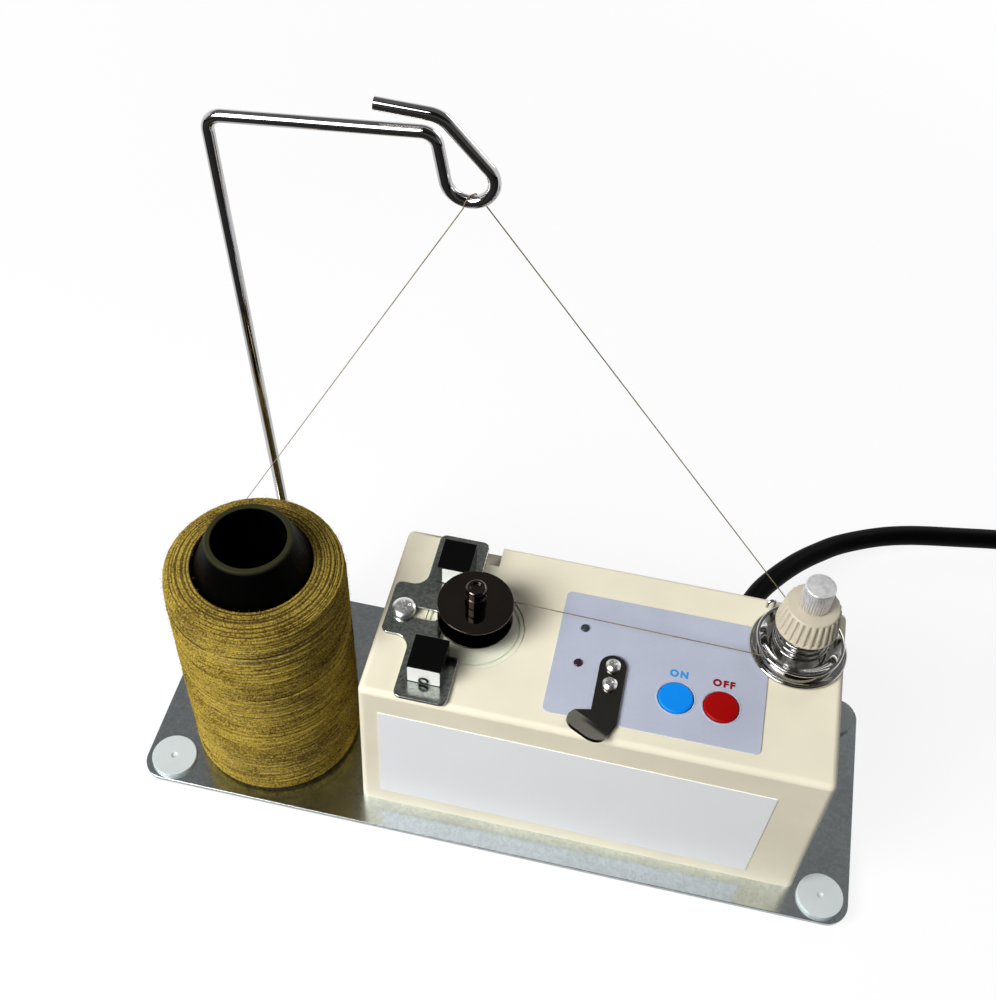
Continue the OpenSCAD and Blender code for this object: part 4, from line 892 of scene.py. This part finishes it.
# the cap on the stud: a knurled neck under a plain lip, with a slightly dished top
capSizes = {
    "foot": 85.8, "head": 93.8, "radius": 4, "bore": 1.6, "pole": 0.02, "hollow": 3, "sides": 80,
    "footEdge": 0.2, "headEdge": 0.22, "dish": 0.1, "dishIn": 0.5, "dishEdge": 0.02,
    "lip": 0.9, "lipIn": 0.15, "lipRise": 0.12, "neckIn": 0.12, "neckTop": 0.1, "neckDrop": 0.25,
    "knurls": 34, "knurlWide": 0.44, "knurlDeep": 0.34, "knurlIn": 0.02, "knurlFoot": 0.1, "knurlTop": 0.3,
}


def makeCap():
    s = capSizes
    foot, head, radius = s["foot"], s["head"], s["radius"]
    neck, under, crest = radius - s["knurlDeep"], head - s["lip"], radius - s["knurlIn"]
    line = [(s["bore"], foot), (neck - s["footEdge"], foot), (neck, foot + s["footEdge"])]
    line += [(neck, under - s["neckDrop"]), (neck - s["neckIn"], under - s["neckTop"])]
    line += [(radius - s["lipIn"], under), (radius, under + s["lipRise"])]
    line += [(radius, head - s["headEdge"]), (radius - s["headEdge"], head)]
    line += [(radius - s["dishIn"], head - s["dishEdge"]), (s["pole"], head - s["dish"])]
    line += [(s["pole"], head - s["hollow"])]
    rib = ribMesh(s["knurlWide"], s["knurlDeep"], crest, crest, foot + s["knurlFoot"], under - s["knurlTop"])
    finish = finishes["turned_aluminium"]
    mesh = ribbed(revolve(line, tensionAxis, s["sides"]), rib, s["knurls"], tensionAxis, finish)
    addPiece("tensionCap", mesh, "frame", "turned_aluminium", stands=("tension_cap",))


makeKnob()
makeCap()
print("tension stack dressed")

# thread cone: a body darkened as painted shade between the turns, under a close winding, steep crossing threads
# and loose fibres
coneSizes = {
    "axis": (-70.1, -10.2), "deck": 4.5, "foot": 1, "shoulder": 77.1, "top": 81.1, "footRadius": 24.8,
    "topRadius": 24.1, "innerRadius": 15.8, "tubeRadius": 15.9, "tubeGap": 0.5,
    "rim": 2.2, "rimStep": 15, "sideFrom": 4, "sideStep": 3, "shoulderStep": 6,
}
coreSizes = {"sunk": 0.75, "drop": 0.6, "sides": 96}
windingSizes = {"thick": 0.8, "pitch": 0.72, "start": 0.02, "end": 0.995, "lean": 0.35}
crossingSizes = {
    "count": 9, "thick": 0.5, "pitch": 17, "pitchStep": 1.7, "phaseStep": 2.4, "low": 0.06, "high": 0.84,
    "lean": 1.2,
}
fibreSizes = {"density": 0.28e6, "long": 1.3, "thick": 0.045, "sunk": 0.2, "skip": 2, "sides": 72}
# how unevenly the thread lies: along the cone, and in and out
laySizes = {
    "ringPoints": 44, "sides": 5, "sunk": 0.24, "topSunk": 0.3,
    "wander": 0.6, "wanderBeat": 0.53, "sway": 2.4, "swayBeat": 0.19, "leanBeat": 0.11,
    "ripple": 0.2, "rippleBeat": 2.7, "rippleSway": 1.6, "rippleDrift": 0.3, "swell": 0.16, "swellBeat": 1.13,
}


def packRadius(z):
    s = coneSizes
    return s["footRadius"] + (s["topRadius"] - s["footRadius"]) * (z - s["foot"]) / (s["shoulder"] - s["foot"])


# the package's outline from its foot over the shoulder, as radius and height
def packOutline():
    s = coneSizes
    line = []
    for c, u in map(onCircle, range(0, 91, s["rimStep"])):
        line.append((packRadius(s["foot"]) - s["rim"] * (1 - u), s["foot"] + s["rim"] * (1 - c)))
    line += [(packRadius(z), z) for z in range(s["sideFrom"], int(s["shoulder"]) + 1, s["sideStep"])]
    for c, u in map(onCircle, range(s["shoulderStep"], 91, s["shoulderStep"])):
        radius = s["innerRadius"] + (s["topRadius"] - s["innerRadius"]) * c
        line.append((radius, s["shoulder"] + (s["top"] - s["shoulder"]) * u))
    return [Vector((r, s["deck"] + z)) for r, z in line]


def alongOutline(line, share):
    lengths = [(b - a).length for a, b in zip(line, line[1:])]
    want = limited(share) * sum(lengths)
    for a, b, length in zip(line, line[1:], lengths):
        if want <= length:
            return a + (b - a) * (want / length)
        want -= length
    return line[-1]


# a thread wound over the outline, between two shares of the outline's length
def woundPath(line, thick, pitch, start, end, phase, lean):
    s, axis = laySizes, coneSizes["axis"]
    reach = sum((b - a).length for a, b in zip(line, line[1:]))
    turns = abs(end - start) * reach / pitch
    shoulder = coneSizes["deck"] + coneSizes["shoulder"]
    points = []
    for i in range(int(turns * s["ringPoints"]) + 1):
        t = i / s["ringPoints"]
        a = 2 * math.pi * t + phase
        wander = s["wander"] * math.sin(s["wanderBeat"] * t + s["sway"] * math.sin(s["swayBeat"] * t))
        wander += lean * math.sin(a + s["leanBeat"] * t)
        r, z = alongOutline(line, start + (end - start) * t / turns + wander / reach)
        lift = s["ripple"] * math.sin(s["rippleBeat"] * t + s["rippleSway"] * math.sin(a + s["rippleDrift"] * t))
        lift += s["swell"] * math.sin(s["swellBeat"] * t)
        r += lift - thick / 2 - s["sunk"]
        z -= s["topSunk"] if z > shoulder else 0
        points.append((axis[0] + r * math.cos(a), axis[1] + r * math.sin(a), z))
    return points


# the core under the winding carries the yarn darkened as painted shade
def makeCore(outline, inner):
    s = coreSizes
    core = [Vector((max(r - s["sunk"], inner), z)) for r, z in outline]
    core[-1][1] -= s["drop"]
    core = [Vector((inner, coneSizes["deck"] + coneSizes["foot"]))] + core + [Vector((inner, core[-1][1]))]
    mesh = revolve(core, coneSizes["axis"], s["sides"])
    addPiece("threadCore", mesh, "frame", "thread_yarn", grooveShadeFinish, ("cone_core",))


def makeWinding(outline, yarn):
    s = windingSizes
    path = woundPath(outline, s["thick"], s["pitch"], s["start"], s["end"], 0, s["lean"])
    mesh = wireMesh(path, s["thick"], laySizes["sides"], yarn)
    addPiece("threadWinding", mesh, "frame", "thread_yarn", stands=("cone_winding",))


# every second crossing thread runs down
def makeCrossings(outline, yarn):
    s = crossingSizes
    threads = []
    for k in range(s["count"]):
        start, end = (s["high"], s["low"]) if k % 2 else (s["low"], s["high"])
        pitch, phase = s["pitch"] + s["pitchStep"] * k, s["phaseStep"] * k
        path = woundPath(outline, s["thick"], pitch, start, end, phase, s["lean"])
        threads.append(wireMesh(path, s["thick"], laySizes["sides"], yarn))
    addPiece("threadCrossing", joined(threads, "rounded"), "frame", "thread_yarn")


def makeFibres(outline, inner, yarn):
    s = fibreSizes
    skin = [Vector((r - s["sunk"], z)) for r, z in outline[s["skip"]:-s["skip"]]]
    skin += [Vector((inner, skin[-1][1])), Vector((inner, skin[0][1]))]
    mesh = throughNodes(revolve(skin, coneSizes["axis"], s["sides"]), fibresOver, Density=s["density"],
                        Length=s["long"] * mm, Fibre_radius=s["thick"] / 2 * mm, Finish=yarn.material)
    addPiece("threadFibres", smoothMesh(mesh, "fibre"), "frame", "thread_yarn")


def makeCone():
    outline, yarn = packOutline(), finishes["thread_yarn"]
    inner = coneSizes["tubeRadius"] + coneSizes["tubeGap"]
    makeCore(outline, inner)
    makeWinding(outline, yarn)
    makeCrossings(outline, yarn)
    makeFibres(outline, inner, yarn)


makeCone()
print("cone wound")

# thread from the cone over the eye, through the discs to the bobbin
threadSizes = {"thick": 0.3, "sides": 8}
threadPath = [
    (-67.5, 14.2, 79), (-71.8, 14.3, 79.8), (-76, 13.6, 80.6), (-80.1, 12.2, 81.4), (-24.37, 28.1, 179.53),
    (-23.97, 28.4, 181.13), (-23.27, 29.6, 182.13), (-22.27, 31.2, 181.73), (-21.27, 31.9, 180.13),
    (71.5, 23.4, 67.3), (73, 20.3, 66.9), (75.8, 15.5, 66.8), (78.6, 11.4, 66.8), (77.6, 8, 66.8),
    (74.6, 6.6, 66.8), (66, 5, 66.8), (-12, 2.6, 72.3),
]
threadMesh = wireMesh(threadPath, threadSizes["thick"], threadSizes["sides"], strandFinish)
addPiece("threadRun", threadMesh, "frame", "thread_yarn", strandFinish, ("thread_run",))

# words on the panel
wordSizes = {"tall": 1.95, "fontScale": 1.45, "thin": 0.03, "film": 64.8, "stroke": 0.16, "spread": 1.3}
words = {
    "startWord": {"text": "ON", "at": (44.5, -4.9), "ink": inkBlue},
    "stopWord": {"text": "OFF", "at": (56.5, -5.2), "ink": inkRed},
}


def printWord(name, own):
    s = wordSizes
    data = bpy.data.curves.new(own["text"], "FONT")
    data.body = own["text"]
    data.align_x = "CENTER"
    data.align_y = "CENTER"
    data.size = s["tall"] * s["fontScale"] * mm
    data.extrude = s["thin"] / 2 * mm
    data.offset = s["stroke"] * mm
    data.space_character = s["spread"]
    source = newObject(own["text"], data)
    mesh = evaluated(source)
    bpy.data.objects.remove(source)
    x, y = own["at"]
    mesh.transform(Matrix.Translation((x * mm, y * mm, (s["film"] + s["thin"] / 2) * mm)))
    addPiece(name, mesh, "frame", "grey_film", own["ink"])


for name, own in words.items():
    printWord(name, own)

# the film's raised rim round each button
rimSizes = {"radius": 5.15, "thick": 0.34, "level": 64.76, "points": 64, "sides": 10}
rims = {"startRim": (44.5, -12.3), "stopRim": (56.5, -12.3)}


def makeRim(name, x, y):
    s = rimSizes
    angles = [2 * math.pi * k / s["points"] for k in range(s["points"])]
    ring = [(x + s["radius"] * math.cos(a), y + s["radius"] * math.sin(a), s["level"]) for a in angles]
    mesh = wireMesh(ring, s["thick"], s["sides"], finishes["grey_film"], closed=True)
    addPiece(name, mesh, "frame", "grey_film")


for name, at in rims.items():
    makeRim(name, *at)

# pale end faces of the two sensor blocks, white as a painted reflection of the white surroundings
faceSizes = {"tall": 6.2, "thin": 0.12, "edge": 0.35, "cornerStep": 30, "foot": 65.6, "middle": 3.45}
faces = {
    "frontSensorFace": {"wide": 8.7, "at": (-20.8, -24)},
    "rearSensorFace": {"wide": 7.2, "at": (-20.2, 8.8)},
}


def addSensorFace(name, own):
    s = faceSizes
    x, y = own["at"]
    corners = []
    for sx, sz, first in ((1, 1, 0), (-1, 1, 90), (-1, -1, 180), (1, -1, 270)):
        for c, u in map(onCircle, range(first, first + 91, s["cornerStep"])):
            across = sx * (own["wide"] / 2 - s["edge"]) + s["edge"] * c
            corners.append((across, sz * (s["tall"] / 2 - s["edge"]) + s["edge"] * u))
    mesh = skinMesh([[(across, back, up) for across, up in corners] for back in (0, -s["thin"])], capped=True)
    mesh.transform(Matrix.Translation((x * mm, y * mm, (s["foot"] + s["middle"]) * mm)))
    addPiece(name, smoothMesh(mesh), "sensor_carriage", "window_plastic", faceReflectionFinish)


for name, own in faces.items():
    addSensorFace(name, own)

# the small lead ring in front of the front sensor: one turn, then an end towards the bracket
leadSizes = {
    "thick": 0.55, "radius": 1.15, "middle": (-20.8, -24.44, 67.45), "startAngle": -2, "points": 24,
    "end": (-22.1, -24.44, 65.95), "sides": 8,
}


def addLead():
    s = leadSizes
    x, y, z = s["middle"]
    angles = [2 * math.pi * k / s["points"] + s["startAngle"] for k in range(s["points"] + 1)]
    loop = [(x + s["radius"] * math.cos(a), y, z + s["radius"] * math.sin(a)) for a in angles]
    mesh = wireMesh(loop + [s["end"]], s["thick"], s["sides"], leadFinish)
    addPiece("leadRing", mesh, "sensor_carriage", "black_plastic", leadFinish)


addLead()

# the nodes that no piece stands for show themselves
for node, thing in frame["nodes"].items():
    if not thing.hide_render:
        thing.data.materials.clear()
        thing.data.materials.append(finishes[slotOfNode[node]].material)
print("small pieces added")

# stage and light; reflections find the dark side of the room in front of the object
stageSizes = {
    "floor": 6, "white": 0.13, "mirrorLoss": 0.85, "soft": (0.08, 0.08, 0.083),
    "floorSeen": ((0.15, 0.87), (0.7, 1)),  # by half the distance from the middle
    "floorMirrored": ((0.1, 0), (0.6, 0.5), (0.64, 1)),  # by ten times y, plus one
    "roomHigh": ((0, 1), (0.37, 1), (0.46, 0.36), (0.58, 0.17), (1, 0.15)),  # by the ray's z
    "roomFront": ((0.65, 0.08), (0.95, 1)),  # by the ray's y, plus one
}
lampAim = (0, 0, 0.04)
lamps = {
    "leftLamp": {"place": (-0.46, -0.4, 0.55), "size": 0.35, "power": 4.2},
    "topLamp": {"place": (-0.6, -0.75, 1), "size": 0.8, "power": 12.3},
    "rearLamp": {"place": (0.5, 0.75, 0.45), "size": 0.4, "power": 2},
}


def makeFloor():
    s = stageSizes
    half = s["floor"] / 2
    mesh = bpy.data.meshes.new("floor")
    corners = [(-half, -half, 0), (half, -half, 0), (half, half, 0), (-half, half, 0)]
    mesh.from_pydata(corners, [], [(0, 1, 2, 3)])
    finish = Finish("paleFloor", Roughness=0.9, Specular_IOR_Level=0.1)
    finish.set(Base_Color=(1 - finish.ray("Glossy") * s["mirrorLoss"]) * s["white"])
    away = finish.axis("Y", finish.place) * 10 + 1
    mirrored = finish.ray("Glossy") * finish.greyRamp(away, s["floorMirrored"])
    seen = finish.ray("Camera").larger(finish.ray("Transmission")).larger(mirrored)
    lift = finish.greyRamp(finish.length(finish.place) * 0.5, s["floorSeen"])
    finish.set(Emission_Color=seen * lift, Emission_Strength=1)
    mesh.materials.append(finish.material)
    newObject("floor", mesh)


# white round the horizon, dim overhead and in front; the soft light itself is even
def makeWorld():
    s = stageSizes
    world = bpy.data.worlds.new("studio")
    scene.world = world
    world.use_nodes = True
    tree = Tree(world.node_tree)
    way = tree.node("ShaderNodeTexCoord", out="Generated")
    height = tree.greyRamp(tree.axis("Z", way), s["roomHigh"])
    front = tree.greyRamp(tree.axis("Y", way) + 1, s["roomFront"])
    camera, mirrored = tree.ray("Camera"), tree.ray("Glossy").larger(tree.ray("Transmission"))
    soft = tree.node("ShaderNodeBackground", {}, {"Color": s["soft"]})
    room = tree.node("ShaderNodeBackground", {}, {"Color": camera.larger(height * front)})
    mixed = tree.node("ShaderNodeMixShader", {}, {0: camera.larger(mirrored), 1: soft, 2: room})
    tree.node("ShaderNodeOutputWorld", {}, {0: mixed})


def addLamp(name, own):
    data = bpy.data.lights.new(name, "AREA")
    data.shape = "SQUARE"
    data.size = own["size"]
    data.energy = own["power"]
    turn = (Vector(lampAim) - Vector(own["place"])).to_track_quat("-Z", "Y").to_matrix().to_4x4()
    newObject(name, data).matrix_world = Matrix.Translation(own["place"]) @ turn


makeFloor()
makeWorld()
for name, own in lamps.items():
    addLamp(name, own)
scene.view_settings.view_transform = "Standard"
print("stage lit")
